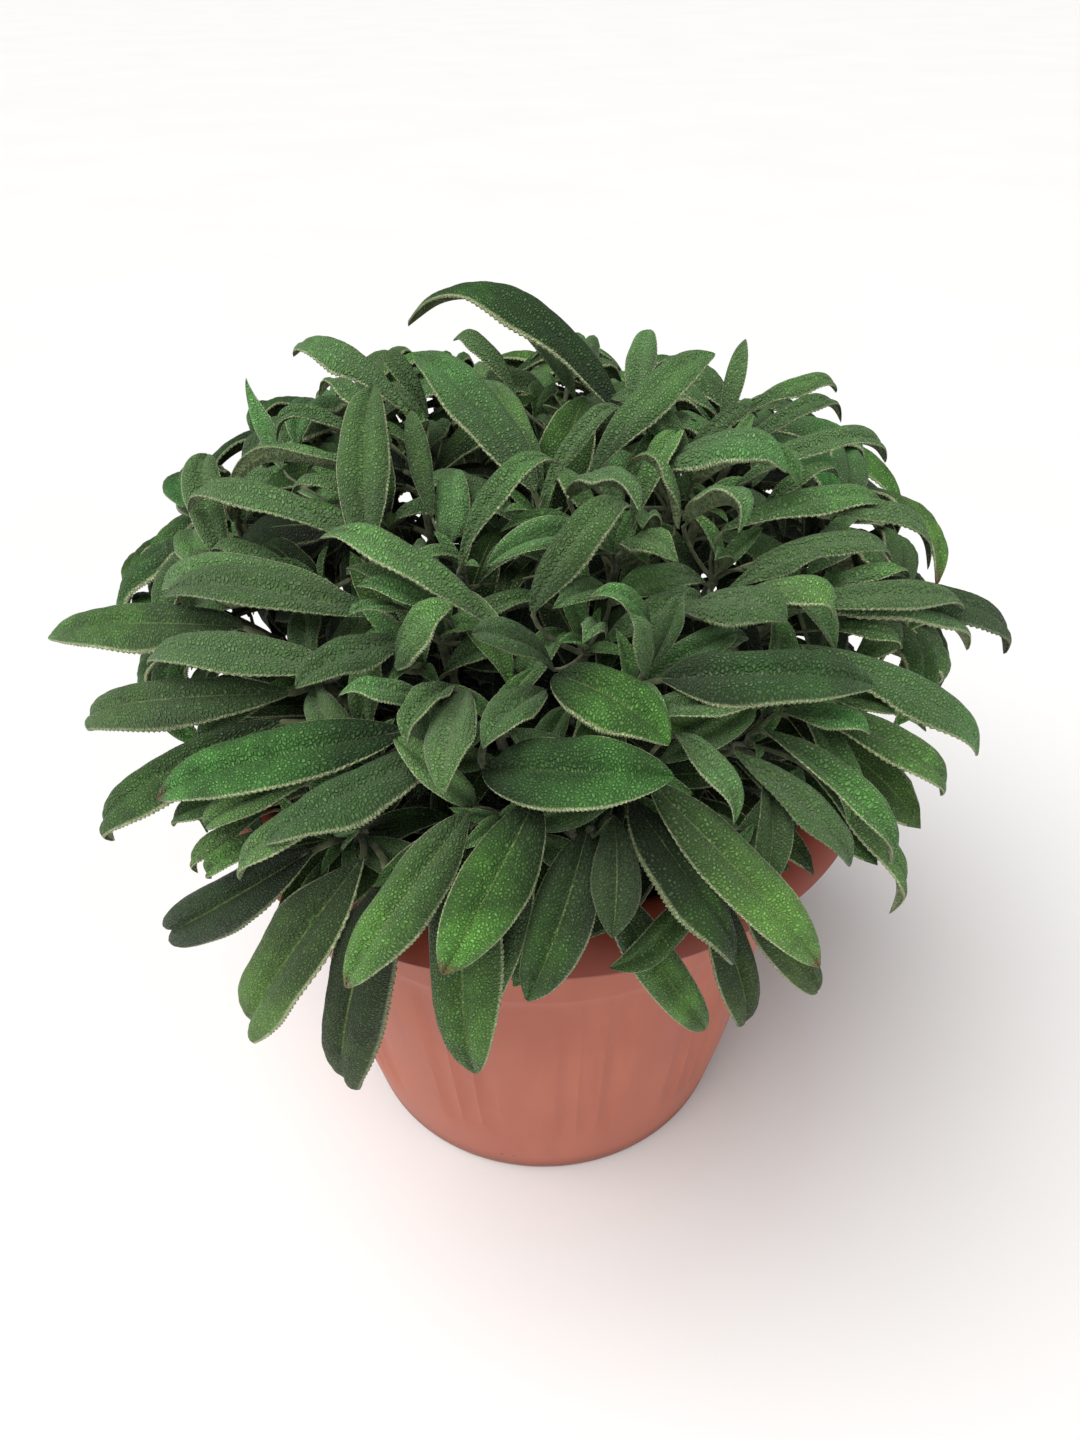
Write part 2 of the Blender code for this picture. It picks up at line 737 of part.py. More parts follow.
def make_shoots(fixed, material):
    shoots = FRONT_SHOOTS + [back_shoot(*row) for row in BACK_SHOOTS]
    fillers = [inner_leaves(shoot) for shoot in FRONT_SHOOTS] + [[]] * len(BACK_SHOOTS)
    obstacles = [Obstacle(solid_of_object(made), None) for made in fixed]
    routes = [stem_route(shoot) for shoot in shoots]
    for number, route in enumerate(routes):
        obstacles.append(Obstacle(stem_solid(route), number))
    spines = [[] for _ in shoots]
    dropped = 0
    for layer in (shoots, fillers):
        for number, leaves in enumerate(layer):
            for row in leaves:
                place = len(spines[number])
                spine = settle_leaf(row, place, number, routes[number], obstacles)
                if spine is None:
                    dropped += 1
                    continue
                spines[number].append(spine)
                obstacles.append(Obstacle(leaf_solid(free_part(spine, False)), number))
    for number, route in enumerate(routes):
        solids = [stem_solid(route)] + [leaf_solid(spine) for spine in spines[number]]
        join_solids(f"shoot_{number + 1:02d}", solids, material)
    grown = sum(len(leaves) for leaves in spines)
    print(f"{len(shoots)} shoots with {grown} leaves, {dropped} had no room")


def main():
    for old in list(bpy.data.objects):
        bpy.data.objects.remove(old)
    plastic = new_material("pot_plastic", (0.47, 0.16, 0.11), 0.55)
    earth = new_material("soil_crumb", (0.025, 0.018, 0.014), 0.95)
    foliage = new_material("sage_foliage", (0.13, 0.2, 0.12), 0.85)
    pot = make_pot(plastic)
    soil = make_soil(earth)
    make_shoots([pot, soil], foliage)


main()
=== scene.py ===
# %% [markdown]
# # A potted sage
# This lesson builds the looks of a bushy common sage in a fluted terracotta-coloured pot. A plain
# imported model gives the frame: where the pot stands, where each stem leaves the soil, and how each
# leaf bends. Everything that shows is then modelled afresh around that frame, so nothing has to be
# fitted at the end. The first cell loads the frame and keeps its box.

# %% Load the frame
import math
import random

import bmesh
import bpy
import numpy as np
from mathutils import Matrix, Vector
from mathutils.bvhtree import BVHTree


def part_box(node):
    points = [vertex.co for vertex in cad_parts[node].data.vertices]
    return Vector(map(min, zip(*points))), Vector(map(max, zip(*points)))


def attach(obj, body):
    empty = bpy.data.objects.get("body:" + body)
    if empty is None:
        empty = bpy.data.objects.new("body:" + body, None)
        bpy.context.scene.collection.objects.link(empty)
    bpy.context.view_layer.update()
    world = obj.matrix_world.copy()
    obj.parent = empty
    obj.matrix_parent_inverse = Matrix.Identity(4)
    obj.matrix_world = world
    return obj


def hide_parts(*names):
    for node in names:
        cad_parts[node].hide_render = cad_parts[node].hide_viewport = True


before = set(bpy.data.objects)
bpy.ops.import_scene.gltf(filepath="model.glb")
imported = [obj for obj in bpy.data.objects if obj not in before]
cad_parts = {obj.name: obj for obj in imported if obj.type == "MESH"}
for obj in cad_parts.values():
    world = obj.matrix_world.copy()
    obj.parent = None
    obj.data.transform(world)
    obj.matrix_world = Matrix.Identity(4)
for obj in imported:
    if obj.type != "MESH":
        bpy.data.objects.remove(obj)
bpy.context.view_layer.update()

MM = 0.001

# %% [markdown]
# ## Small helpers
# Blender's operators act on whatever is selected, and a fresh import leaves its objects selected.
# So every piece starts with nothing selected, and points are then chosen by their place.

# %% Helpers for selecting
def nothing_selected():
    bpy.ops.object.select_all(action="DESELECT")


def choose(piece, test):
    """In edit mode, selects the points whose place passes the test."""
    mesh = bmesh.from_edit_mesh(piece.data)
    for point in mesh.verts:
        point.select = test(point.co)
    mesh.select_flush_mode()
    bmesh.update_edit_mesh(piece.data)


def finish_modifier(piece, kind, **settings):
    """Adds a modifier, sets it and applies it."""
    modifier = piece.modifiers.new(kind.lower(), kind)
    for name, value in settings.items():
        setattr(modifier, name, value)
    bpy.context.view_layer.objects.active = piece
    bpy.ops.object.modifier_apply(modifier=modifier.name)


print("helpers ready")

# %% [markdown]
# ## The camera
# The camera looks down at the front of the plant from close by, so the near leaves are large and
# the pot narrows quickly towards its foot. It is set first, because it says what will be seen.

# %% Camera
CAMERA_PLACE = (0.0028, -0.3027, 0.3775)
CAMERA_TILT = 54.0
CAMERA_ROLL = 0.67
CAMERA_LENS = 27.05

nothing_selected()
bpy.ops.object.camera_add(location=CAMERA_PLACE)
camera = bpy.context.object
camera.name = "camera"
camera.data.lens = CAMERA_LENS
camera.data.sensor_width = 36.0
camera.data.clip_start = 0.01
camera.rotation_euler = (math.radians(CAMERA_TILT), math.radians(CAMERA_ROLL), 0.0)
bpy.context.scene.camera = camera
print("camera at", CAMERA_PLACE)

# %% [markdown]
# ## Reading the leaves off the frame
# Each leaf of the frame is a plain three-cornered blade: rings of three points, ending in one
# point at its tip. A tip is therefore a point with three neighbours that all touch each other, and
# walking on from ring to ring finds the blade back to its base. The longest side of a ring is the
# blade's width, and the third point lies below the midrib. This gives the way each leaf bends
# without a single number being copied from the frame's own source.

# %% Walk a leaf from its tip
BLADE_STATIONS = (0.0, 0.25, 0.52, 0.8, 1.0)
WELD = 1e-6
BASE_SHARE = 0.72
BASE_SLIMNESS = 0.25


def neighbours(point):
    return {edge.other_vert(point) for edge in point.link_edges}


def is_leaf_tip(point):
    near = neighbours(point)
    return len(near) == 3 and all(near - {a} <= neighbours(a) for a in near)


def rings_from(tip, size):
    """Rings of this many points, walking away from a first ring; and the points met last."""
    ring = neighbours(tip) if isinstance(tip, bmesh.types.BMVert) else set(tip)
    seen = ring | ({tip} if isinstance(tip, bmesh.types.BMVert) else set())
    rings = [ring]
    while True:
        ahead = set().union(*(neighbours(point) for point in rings[-1])) - seen
        if len(ahead) != size:
            return rings, ahead
        rings.append(ahead)
        seen |= ahead


def middle_of(points):
    return sum((point.co for point in points), Vector()) / max(len(points), 1)


def blade_ring(ring):
    """(middle of the top, side, normal, width) of a ring of three points."""
    a, b, c = sorted(ring, key=lambda point: point.index)
    pairs = [(a, b, c), (b, c, a), (a, c, b)]
    left, right, below = max(pairs, key=lambda pair: (pair[0].co - pair[1].co).length)
    top = (left.co + right.co) / 2
    side = right.co - left.co
    return top, side.normalized(), (top - below.co).normalized(), side.length


print("leaf stations", BLADE_STATIONS)

# %% Read every shoot
SLIMMEST = 0.22
STEM_FOOT_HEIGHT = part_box("potting_soil")[1].z + 0.3 * MM
LEVEL_WITHIN = 0.1 * MM
STEM_ENDS_SHORT = 4 * MM


def read_leaf(tip):
    """A leaf's stations from base to tip, or None if the walk isn't along a leaf.

    Some blades of the frame are slimmer than any sage leaf, so the width has a least share of the
    length.
    """
    rings, beyond = rings_from(tip, 3)
    if len(rings) < 3 or len(rings) > 4:
        return None
    found = [blade_ring(ring) for ring in rings[::-1]]
    foot = middle_of(beyond)
    if len(found) == 3:
        top, side, normal, width = found[0]
        found.insert(0, (top.lerp(foot, BASE_SHARE), side, normal, width * BASE_SLIMNESS))
    end = found[-1]
    found.append((tip.co.copy(), end[1], end[2], 0.0))
    points = [station[0] for station in found]
    sides = []
    for index, (_, side, normal, _) in enumerate(found):
        onward = points[min(index + 1, 4)] - points[max(index - 1, 0)]
        sides.append(side if onward.cross(normal).dot(side) > 0 else -side)
    normals = [station[2] for station in found]
    length = sum((b - a).length for a, b in zip(points[:-1], points[1:]))
    return {"points": points, "sides": sides, "normals": normals, "foot": foot,
            "width": max(found[2][3], SLIMMEST * length), "length": length, "kind": "open"}


def read_shoot(node):
    """(stem points from the soil up, leaves) of one shoot of the frame."""
    mesh = bmesh.new()
    mesh.from_mesh(node.data)
    bmesh.ops.remove_doubles(mesh, verts=mesh.verts, dist=WELD)
    mesh.verts.index_update()
    leaves = [read_leaf(point) for point in mesh.verts if is_leaf_tip(point)]
    leaves = [leaf for leaf in leaves if leaf]
    level = {point for point in mesh.verts if abs(point.co.z - STEM_FOOT_HEIGHT) < LEVEL_WITHIN}
    base = {point for point in level if len(neighbours(point) & level) > 1}
    rings, _ = rings_from(base, len(base))
    stem = [middle_of(ring) for ring in rings]
    mesh.free()
    tip = sum((leaf["foot"] for leaf in leaves), Vector()) / len(leaves)
    if (tip - stem[-1]).length > STEM_ENDS_SHORT:
        stem.append(tip)
    return stem, leaves


SHOOT_NODES = sorted(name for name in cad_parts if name.startswith("shoot_"))
shoots = [read_shoot(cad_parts[name]) for name in SHOOT_NODES]
print(len(shoots), "shoots,", sum(len(leaves) for _, leaves in shoots), "leaves in the frame")
print("stems have", sorted({len(stem) for stem, _ in shoots}), "points")

# %% [markdown]
# ## The leaf blade
# A sage leaf is long and oval with a rounded tip, a finely scalloped edge, a sunken midrib above and
# a raised one below, and a quilted surface between its side veins. It could be cut from a texture,
# but then its edge would be straight. So the blade is a grid: each row is scaled to the leaf's
# outline, every other edge point is pushed out to make the scallops, and Solidify gives it its
# thickness. Across runs from -1 to 1 and along from 0 to 1, while heights are in metres, so one
# blade fits a leaf of any length and width.

# %% Outline and relief of a blade
BLADE_THICKNESS = 0.45 * MM
BROAD_OUTLINE = [(0, 0.1), (0.05, 0.34), (0.13, 0.66), (0.24, 0.9), (0.38, 1.0), (0.5, 0.97),
                 (0.64, 0.84), (0.77, 0.63), (0.88, 0.4), (0.95, 0.21), (0.985, 0.1), (1, 0.0)]
SLENDER_OUTLINE = [(0, 0.1), (0.06, 0.27), (0.16, 0.58), (0.3, 0.86), (0.45, 1.0), (0.58, 0.95),
                   (0.71, 0.77), (0.83, 0.52), (0.92, 0.29), (0.97, 0.14), (1, 0.0)]
EASING = 0.03
SIDE_VEINS = 9
VEIN_SLANT = 0.22
ARCH_HEIGHT = 1.9 * MM
GROOVE_DEPTH = 0.55 * MM
GROOVE_WIDTH = 0.09
MIDRIB_HEIGHT = 0.9 * MM
MIDRIB_WIDTH = 0.11


def outline_at(outline, along):
    """The outline's half width, eased between its points so that the edge has no corners."""
    places, widths = zip(*outline)
    nearby = np.interp([along - EASING, along, along + EASING], places, widths)
    return float(nearby.mean() if 0.04 < along < 0.97 else nearby[1])


def relief(across, along, quilting):
    """The blade's height at a place: arched halves, a groove at the midrib, quilted veins."""
    away = abs(across)
    fade = math.sin(math.pi * min(max(along, 0.02), 0.98)) ** 0.5
    halves = ARCH_HEIGHT * fade * (1 - (2 * min(away, 1.0) - 1) ** 2)
    groove = -GROOVE_DEPTH * fade * math.exp(-((away / GROOVE_WIDTH) ** 2))
    veins = abs(math.sin(math.pi * SIDE_VEINS * (along - VEIN_SLANT * away)))
    quilt = quilting * fade * min(away / 0.2, 1.0) * (1 - 0.6 * away) * veins
    return halves + groove + quilt


def midrib_below(across, along):
    """How far the midrib stands out below, thinning towards the tip."""
    return MIDRIB_HEIGHT * (1 - 0.85 * along) * math.exp(-((across / MIDRIB_WIDTH) ** 2))


print("outline at the middle", outline_at(BROAD_OUTLINE, 0.5))

# %% Make a blade
BLADE_SHARP_ANGLE = math.radians(50)


def make_blade(name, outline, columns, rows, tooth, quilting):
    """A blade lying flat, with the attribute blade_place = (across, along, 1 above or -1 below)."""
    nothing_selected()
    bpy.ops.mesh.primitive_grid_add(x_subdivisions=columns, y_subdivisions=rows, size=1,
                                    location=(0, 0.5, 0))
    blade = bpy.context.object
    blade.name = name
    bpy.ops.object.transform_apply(location=True)
    bpy.ops.object.mode_set(mode="EDIT")
    for row in range(rows + 1):
        along = row / rows
        choose(blade, lambda co: abs(co.y - along) < 0.25 / rows)
        wide = 2 * max(outline_at(outline, along), 1e-4)
        if row % 2 and tooth:
            wide *= 1 - tooth
        bpy.ops.transform.resize(value=(wide, 1, 1), center_override=(0, along, 0))
    bpy.ops.mesh.select_all(action="SELECT")
    bpy.ops.mesh.remove_doubles(threshold=0.0005)
    bpy.ops.object.mode_set(mode="OBJECT")
    finish_modifier(blade, "SOLIDIFY", thickness=BLADE_THICKNESS, offset=-1)
    bpy.ops.object.shade_smooth_by_angle(angle=BLADE_SHARP_ANGLE)
    place = blade.data.attributes.new("blade_place", "FLOAT_VECTOR", "POINT")
    for point, stored in zip(blade.data.vertices, place.data):
        x, y, z = point.co
        above = z > -BLADE_THICKNESS / 2
        across = x / max(outline_at(outline, y), 0.02)
        stored.vector = (min(max(across, -1), 1), y, 1 if above else -1)
        point.co.z += relief(across, y, quilting)
        if not above:
            point.co.z -= midrib_below(across, y)
    blade.hide_render = True
    print(name, len(blade.data.polygons), "faces")
    return blade


BLADES = {
    "front": make_blade("front_blade", BROAD_OUTLINE, 12, 90, 0.028, 0.3 * MM),
    "broad": make_blade("broad_blade", BROAD_OUTLINE, 8, 60, 0.032, 0.25 * MM),
    "slender": make_blade("slender_blade", SLENDER_OUTLINE, 8, 60, 0.032, 0.25 * MM),
    "young": make_blade("young_blade", SLENDER_OUTLINE, 6, 24, 0.05, 0.1 * MM),
    "plain": make_blade("plain_blade", SLENDER_OUTLINE, 4, 8, 0.0, 0.0),
}

# %% [markdown]
# ## Bending a blade
# A Curve modifier could bend a blade along a curve, but it would need one curve object for each
# leaf and gives little say over the twist. Moving the points in code is simpler here: each point's
# place along the leaf picks a spot on a smooth curve through the leaf's stations, and its place
# across and its height are laid off along the side and the normal at that spot. No two leaves are
# alike, so each also gets its own fold along the midrib, rolled edges and a slight wave.

# %% Smooth curve through stations
def smooth_through(knots, values, at):
    """A smooth curve through values at the knots, read at many places."""
    knots = np.asarray(knots, float)
    values = np.asarray(values, float)
    steps = np.diff(knots)[:, None]
    runs = np.diff(values, axis=0) / steps
    inner = (runs[:-1] * steps[1:] + runs[1:] * steps[:-1]) / (steps[1:] + steps[:-1])
    slopes = np.vstack([runs[:1], inner, runs[-1:]])
    index = np.clip(np.searchsorted(knots, at, side="right") - 1, 0, len(knots) - 2)
    step = steps[index]
    t = ((at - knots[index]) / step[:, 0])[:, None]
    start = values[index] * (1 + 2 * t) * (1 - t) ** 2 + slopes[index] * step * t * (1 - t) ** 2
    end = values[index + 1] * t * t * (3 - 2 * t) - slopes[index + 1] * step * t * t * (1 - t)
    return start + end


def unit(rows):
    return rows / np.maximum(np.linalg.norm(rows, axis=1, keepdims=True), 1e-12)


NO_CHARACTER = {"fold": 0.0, "roll": 0.0, "wave": 0.0, "phase": 0.0, "droop": 0.0, "twist": 0.0}
CHARACTERS = {
    "young": {"fold": (0.5, 0.9), "roll": (0.1, 0.4), "wave": 0.04, "phase": (0.0, 1.0),
              "droop": (-0.05, 0.15), "twist": 0.0},
    "small": {"fold": (0.25, 0.8), "roll": (0.3, 0.8), "wave": (0.03, 0.13), "phase": (0.0, 1.0),
              "droop": (0.05, 0.36), "twist": (-1.1, 1.1)},
    "large": {"fold": (0.0, 0.45), "roll": (0.3, 0.75), "wave": (0.03, 0.13), "phase": (0.0, 1.0),
              "droop": (0.02, 0.2), "twist": (-0.5, 0.5)},
}
SMALL_WIDTH = 12.5 * MM
FULL_WIDTH = 18 * MM
TWIST_FROM = 0.3
DROOP_FROM = 0.55
DROOP_FORCE = 1.8
RIPPLES = 2.2
FOLD_NARROWS = 0.35
ROLL_NARROWS = 0.2


def bent_points(flat, leaf, character=NO_CHARACTER):
    """The blade's points laid along a leaf."""
    x, y, z = flat.T
    at = np.clip(y, 0, 1)
    places = smooth_through(BLADE_STATIONS, leaf["points"], at)
    sides = unit(smooth_through(BLADE_STATIONS, leaf["sides"], at))
    normals = smooth_through(BLADE_STATIONS, leaf["normals"], at)
    normals = unit(normals - sides * np.sum(normals * sides, axis=1, keepdims=True))
    turn = (character["twist"] * np.clip(y - TWIST_FROM, 0, 1))[:, None]
    sides, normals = (sides * np.cos(turn) + normals * np.sin(turn),
                      normals * np.cos(turn) - sides * np.sin(turn))
    half = leaf["width"] / 2
    away = np.abs(x)
    lift = half * (character["fold"] * away - character["roll"] * away ** 3)
    ripple = np.sin(2 * math.pi * (RIPPLES * y + character["phase"]) + np.sign(x))
    lift += half * character["wave"] * away ** 2 * ripple
    lift -= character["droop"] * leaf["length"] * np.clip(y - DROOP_FROM, 0, 1) ** 2 * DROOP_FORCE
    narrowed = FOLD_NARROWS * character["fold"] ** 2 + ROLL_NARROWS * character["roll"] * away ** 2
    reach = x * half * (1 - narrowed)
    heights = z * min(leaf["width"] / FULL_WIDTH, 1.0)
    return places + sides * reach[:, None] + normals * (lift + heights)[:, None]


def leaf_character(leaf, draw):
    """Small leaves are folded, twisted and curled; large ones lie open and droop at their tips."""
    size = "small" if leaf["width"] < SMALL_WIDTH else "large"
    ranges = CHARACTERS["young" if leaf["kind"] == "young" else size]
    return {trait: draw.uniform(*value) if isinstance(value, tuple) else value
            for trait, value in ranges.items()}


print("bending ready")

# %% [markdown]
# ## Filling in the bush
# The frame holds the leaves that give the bush its outline. A real shoot carries more below them:
# pairs of leaves, each pair turned a quarter round from the last, getting shorter and darker down
# the stem, and a tuft of young leaves at the top. Here the pairs are grown down each stem, each
# pair turned a quarter round from the last but at lengths drawn at random, with the tuft at the
# top, and one is kept only where it stays inside the bush and touches nothing that is already there.

# %% Grow a leaf from a stem
STALK_SHARE = 0.16


def stem_spot(stem, below):
    """(place, direction) on a stem this far down from its tip."""
    for high, low in zip(stem[::-1], stem[-2::-1]):
        step = (high - low).length
        if below <= step:
            break
        below -= step
    return high.lerp(low, min(below / step, 1.0)), (high - low).normalized()


def grown_leaf(spot, up, around, length, width, angles, kind):
    """A leaf that leaves a stem at one angle to it and arches over to another."""
    side_way = up.orthogonal().normalized()
    out = side_way * math.cos(around) + up.cross(side_way) * math.sin(around)
    place = spot.copy()
    points, sides, normals = [], [], []
    before = -STALK_SHARE
    for share in BLADE_STATIONS:
        turn = math.radians(angles[0] + (angles[1] - angles[0]) * share)
        ahead = up * math.cos(turn) + out * math.sin(turn)
        place = place + ahead * length * (share - before)
        before = share
        points.append(place.copy())
        normals.append(up * math.sin(turn) - out * math.cos(turn))
        sides.append(ahead.cross(normals[-1]))
    return {"points": points, "sides": sides, "normals": normals, "foot": spot,
            "width": width, "length": length, "kind": kind}


print("grown leaves ready")

# %% Keep clear of what is there
class Filled:
    """What already stands in the bush: a box and a tree of faces for each leaf."""

    def __init__(self):
        self.low = np.zeros((0, 3))
        self.high = np.zeros((0, 3))
        self.trees = []

    def add(self, points, faces):
        self.low = np.vstack([self.low, points.min(0)])
        self.high = np.vstack([self.high, points.max(0)])
        self.trees.append(BVHTree.FromPolygons(points.tolist(), faces))

    def touches(self, points, faces):
        meet = (points.min(0) <= self.high) & (points.max(0) >= self.low)
        near = np.flatnonzero(meet.all(1))
        if not len(near):
            return False
        tree = BVHTree.FromPolygons(points.tolist(), faces)
        return any(tree.overlap(self.trees[index]) for index in near)


def flat_points(blade):
    flat = np.empty(len(blade.data.vertices) * 3)
    blade.data.vertices.foreach_get("co", flat)
    return flat.reshape(-1, 3)


PLAIN_FLAT = flat_points(BLADES["plain"])
PLAIN_FACES = [tuple(face.vertices) for face in BLADES["plain"].data.polygons]
filled = Filled()
for _, leaves in shoots:
    for leaf in leaves:
        filled.add(bent_points(PLAIN_FLAT, leaf), PLAIN_FACES)
print(len(filled.trees), "leaves stand in the bush")

# %% The bush's own outline
BUSH_HEART = np.array((0.0, 0.0, 0.17))
CONE = math.cos(math.radians(13))
bush_points = np.vstack([np.array(leaf["points"]) for _, leaves in shoots for leaf in leaves])
bush_reach = np.linalg.norm(bush_points - BUSH_HEART, axis=1)
bush_ways = (bush_points - BUSH_HEART) / bush_reach[:, None]


def inside_bush(points, share):
    """True if every point lies within this share of the bush's reach in its own direction."""
    reach = np.linalg.norm(points - BUSH_HEART, axis=1)
    near = (points - BUSH_HEART) @ bush_ways.T > CONE * reach[:, None]
    limit = np.where(near, bush_reach[None, :], 0).max(1)
    return bool((reach < share * limit).all())


print("bush reaches", round(float(bush_reach.max()), 3), "m from its heart")

# %% Grow the pairs and the young tufts
PAIR_STEPS = (9 * MM, 22 * MM, 35 * MM, 48 * MM, 62 * MM, 76 * MM, 90 * MM)
PAIR_LENGTH = (24, 46)
PAIR_SLIMNESS = (0.32, 0.4)
PAIR_ANGLES = ((25, 50), (75, 120))
LOWEST_PAIR = 165 * MM
TUFT_LEAVES = 4
TUFT_LENGTH = (11, 21)
TUFT_SLIMNESS = 0.36
TUFT_ANGLES = ((0, 25), (35, 80))
TRIES = 9
RIM_CLEAR = 172 * MM
WITHIN_RIM = 90 * MM


def fits(leaf, share):
    """True if the leaf clears the rim, the bush's outline and its neighbours; it then stays."""
    points = bent_points(PLAIN_FLAT, leaf)
    within_rim = np.linalg.norm(points[:, :2], axis=1).max() < WITHIN_RIM
    if not within_rim and points[:, 2].min() < RIM_CLEAR:
        return False
    if not inside_bush(points[len(points) // 4:], share) or filled.touches(points, PLAIN_FACES):
        return False
    filled.add(points, PLAIN_FACES)
    return True


def drawn_angles(ranges, draw):
    return draw.uniform(*ranges[0]), draw.uniform(*ranges[1])


def grow_along(stem, draw):
    """The pairs of shaded leaves down one stem."""
    grown = []
    turn = draw.uniform(0, math.pi)
    for below in PAIR_STEPS:
        spot, up = stem_spot(stem, below)
        if spot.z < LOWEST_PAIR:
            break
        for opposite in (0, math.pi):
            for _ in range(TRIES):
                around = turn + opposite + draw.uniform(-0.6, 0.6)
                length = draw.uniform(*PAIR_LENGTH) * MM
                angles = drawn_angles(PAIR_ANGLES, draw)
                wide = length * draw.uniform(*PAIR_SLIMNESS)
                leaf = grown_leaf(spot, up, around, length, wide, angles, "shaded")
                if fits(leaf, 0.97):
                    grown.append(leaf)
                    break
        turn += math.pi / 2
    return grown


def young_tuft(stem, draw):
    """The small upright leaves that are still opening at the top of a shoot."""
    tuft = []
    spot, up = stem_spot(stem, 0.0)
    for place in range(TUFT_LEAVES):
        around = place * math.pi / 2 + draw.uniform(-0.4, 0.4)
        for _ in range(TRIES):
            length = draw.uniform(*TUFT_LENGTH) * MM
            angles = drawn_angles(TUFT_ANGLES, draw)
            leaf = grown_leaf(spot, up, around, length, length * TUFT_SLIMNESS, angles, "young")
            if fits(leaf, 1.03):
                tuft.append(leaf)
                break
    return tuft


for number, (stem, leaves) in enumerate(shoots):
    draw = random.Random(100 + number)
    leaves.extend(young_tuft(stem, draw))
for number, (stem, leaves) in enumerate(shoots):
    draw = random.Random(200 + number)
    leaves.extend(grow_along(stem, draw))
print(sum(len(leaves) for _, leaves in shoots), "leaves so far")

# %% [markdown]
# ## Closing the bush
# A real bush is closed: from its heart no sky is seen. So lines are drawn from five places in the
# heart outwards, evenly spread, and where one meets no leaf another leaf is grown from the nearest
# stem through that line. This hides the floor behind the bush from every side, which scattering
# more leaves at random would do only in part.

# %% Find and close the gaps
HEARTS = (Vector((0, 0, 0.172)), Vector((0, 0, 0.2)), Vector((0, 0.04, 0.185)),
          Vector((-0.06, 0, 0.18)), Vector((0.06, 0, 0.18)))
WAYS = 1400
LOWEST_WAY = 0.02
GOLDEN_TURN = math.pi * (3 - math.sqrt(5))
GAP_DEPTHS = (0.84, 0.7, 0.56)
GAP_LEAF_LENGTH = (1.35, 1.8)
GAP_LEAF_SLIMNESS = (0.36, 0.46)
GAP_LEAF_REACH = (10 * MM, 38 * MM)
GAP_TRIES = 5
NEAR_SPOTS = 9


def way_out(index):
    """One of the directions spread evenly over the upper part of a sphere."""
    up = LOWEST_WAY + (1 - LOWEST_WAY) * (index + 0.5) / WAYS
    level = math.sqrt(1 - up * up)
    turn = index * GOLDEN_TURN
    return Vector((level * math.cos(turn), level * math.sin(turn), up))


def reach_towards(heart, way):
    """How far it is from a heart to the bush's outline in a direction."""
    ahead = bush_points - np.array(heart)
    reach = np.linalg.norm(ahead, axis=1)
    near = ahead @ np.array(way) > CONE * reach
    return float(reach[near].max()) if near.any() else 0.0


def leaf_through(spot, up, target, draw):
    """A leaf from a spot on a stem, arching over through a target."""
    ahead = target - spot
    side_way = up.orthogonal().normalized()
    around = math.atan2(ahead.dot(up.cross(side_way)), ahead.dot(side_way))
    lean = math.degrees(ahead.angle(up))
    length = ahead.length * draw.uniform(*GAP_LEAF_LENGTH)
    angles = (lean - draw.uniform(8, 25), lean + draw.uniform(15, 40))
    around += draw.uniform(-0.25, 0.25)
    wide = length * draw.uniform(*GAP_LEAF_SLIMNESS)
    return grown_leaf(spot, up, around, length, wide, angles, "shaded")


stem_spots = [(*stem_spot(stem, below * MM), number) for number, (stem, _) in enumerate(shoots)
              for below in range(4, 80, 6)]


def close_gap(target, draw):
    """Grows one leaf through the target from a stem near it, if there's room."""
    near = sorted(stem_spots, key=lambda spot: (spot[0] - target).length)[:NEAR_SPOTS]
    for spot, up, number in near:
        if not GAP_LEAF_REACH[0] < (spot - target).length < GAP_LEAF_REACH[1]:
            continue
        for _ in range(GAP_TRIES):
            leaf = leaf_through(spot, up, target, draw)
            if fits(leaf, 0.98):
                shoots[number][1].append(leaf)
                return True
    return False


def is_open(heart, way):
    return not any(tree.ray_cast(heart, way)[0] for tree in filled.trees)


draw = random.Random(300)
for heart in HEARTS:
    gaps = [way for way in map(way_out, range(WAYS)) if is_open(heart, way)]
    closed = 0
    for way in gaps:
        reach = reach_towards(heart, way)
        if is_open(heart, way):
            closed += any(close_gap(heart + way * reach * depth, draw) for depth in GAP_DEPTHS)
    print(len(gaps), "gaps seen from", tuple(heart), "and", closed, "leaves grown")
print(sum(len(leaves) for _, leaves in shoots), "leaves in the whole bush")

# %% [markdown]
# ## Materials of the foliage
# Sage is grey-green because its upper side is felted with short pale hairs over small raised
# cells, with fine veins sunk between them; the colour darkens these veins, partly for their own
# darker green and partly as painted shade in the grooves. The veins, cells, pale edge and midrib
# all follow the leaf, so the pattern reads the blade's own attributes: blade_place for where a
# point lies on its leaf, and blade_mm for the same place in millimetres, which keeps the cells one
# size on every leaf. A third, leaf_look, says how bright, how yellow and how felted that leaf is;
# the brightness is partly random and partly painted shade deep in the bush and painted light on
# large high leaves. Each leaf is also painted darker towards its base, as shade from the leaves
# around it. Values that are even all over are set on the shader itself.

# %% Node helpers
def new_material(name, roughness):
    """A material with its Principled shader, ready for nodes."""
    material = bpy.data.materials.new(name)
    material.use_nodes = True
    shader = material.node_tree.nodes["Principled BSDF"]
    shader.inputs["Roughness"].default_value = roughness
    return material, shader


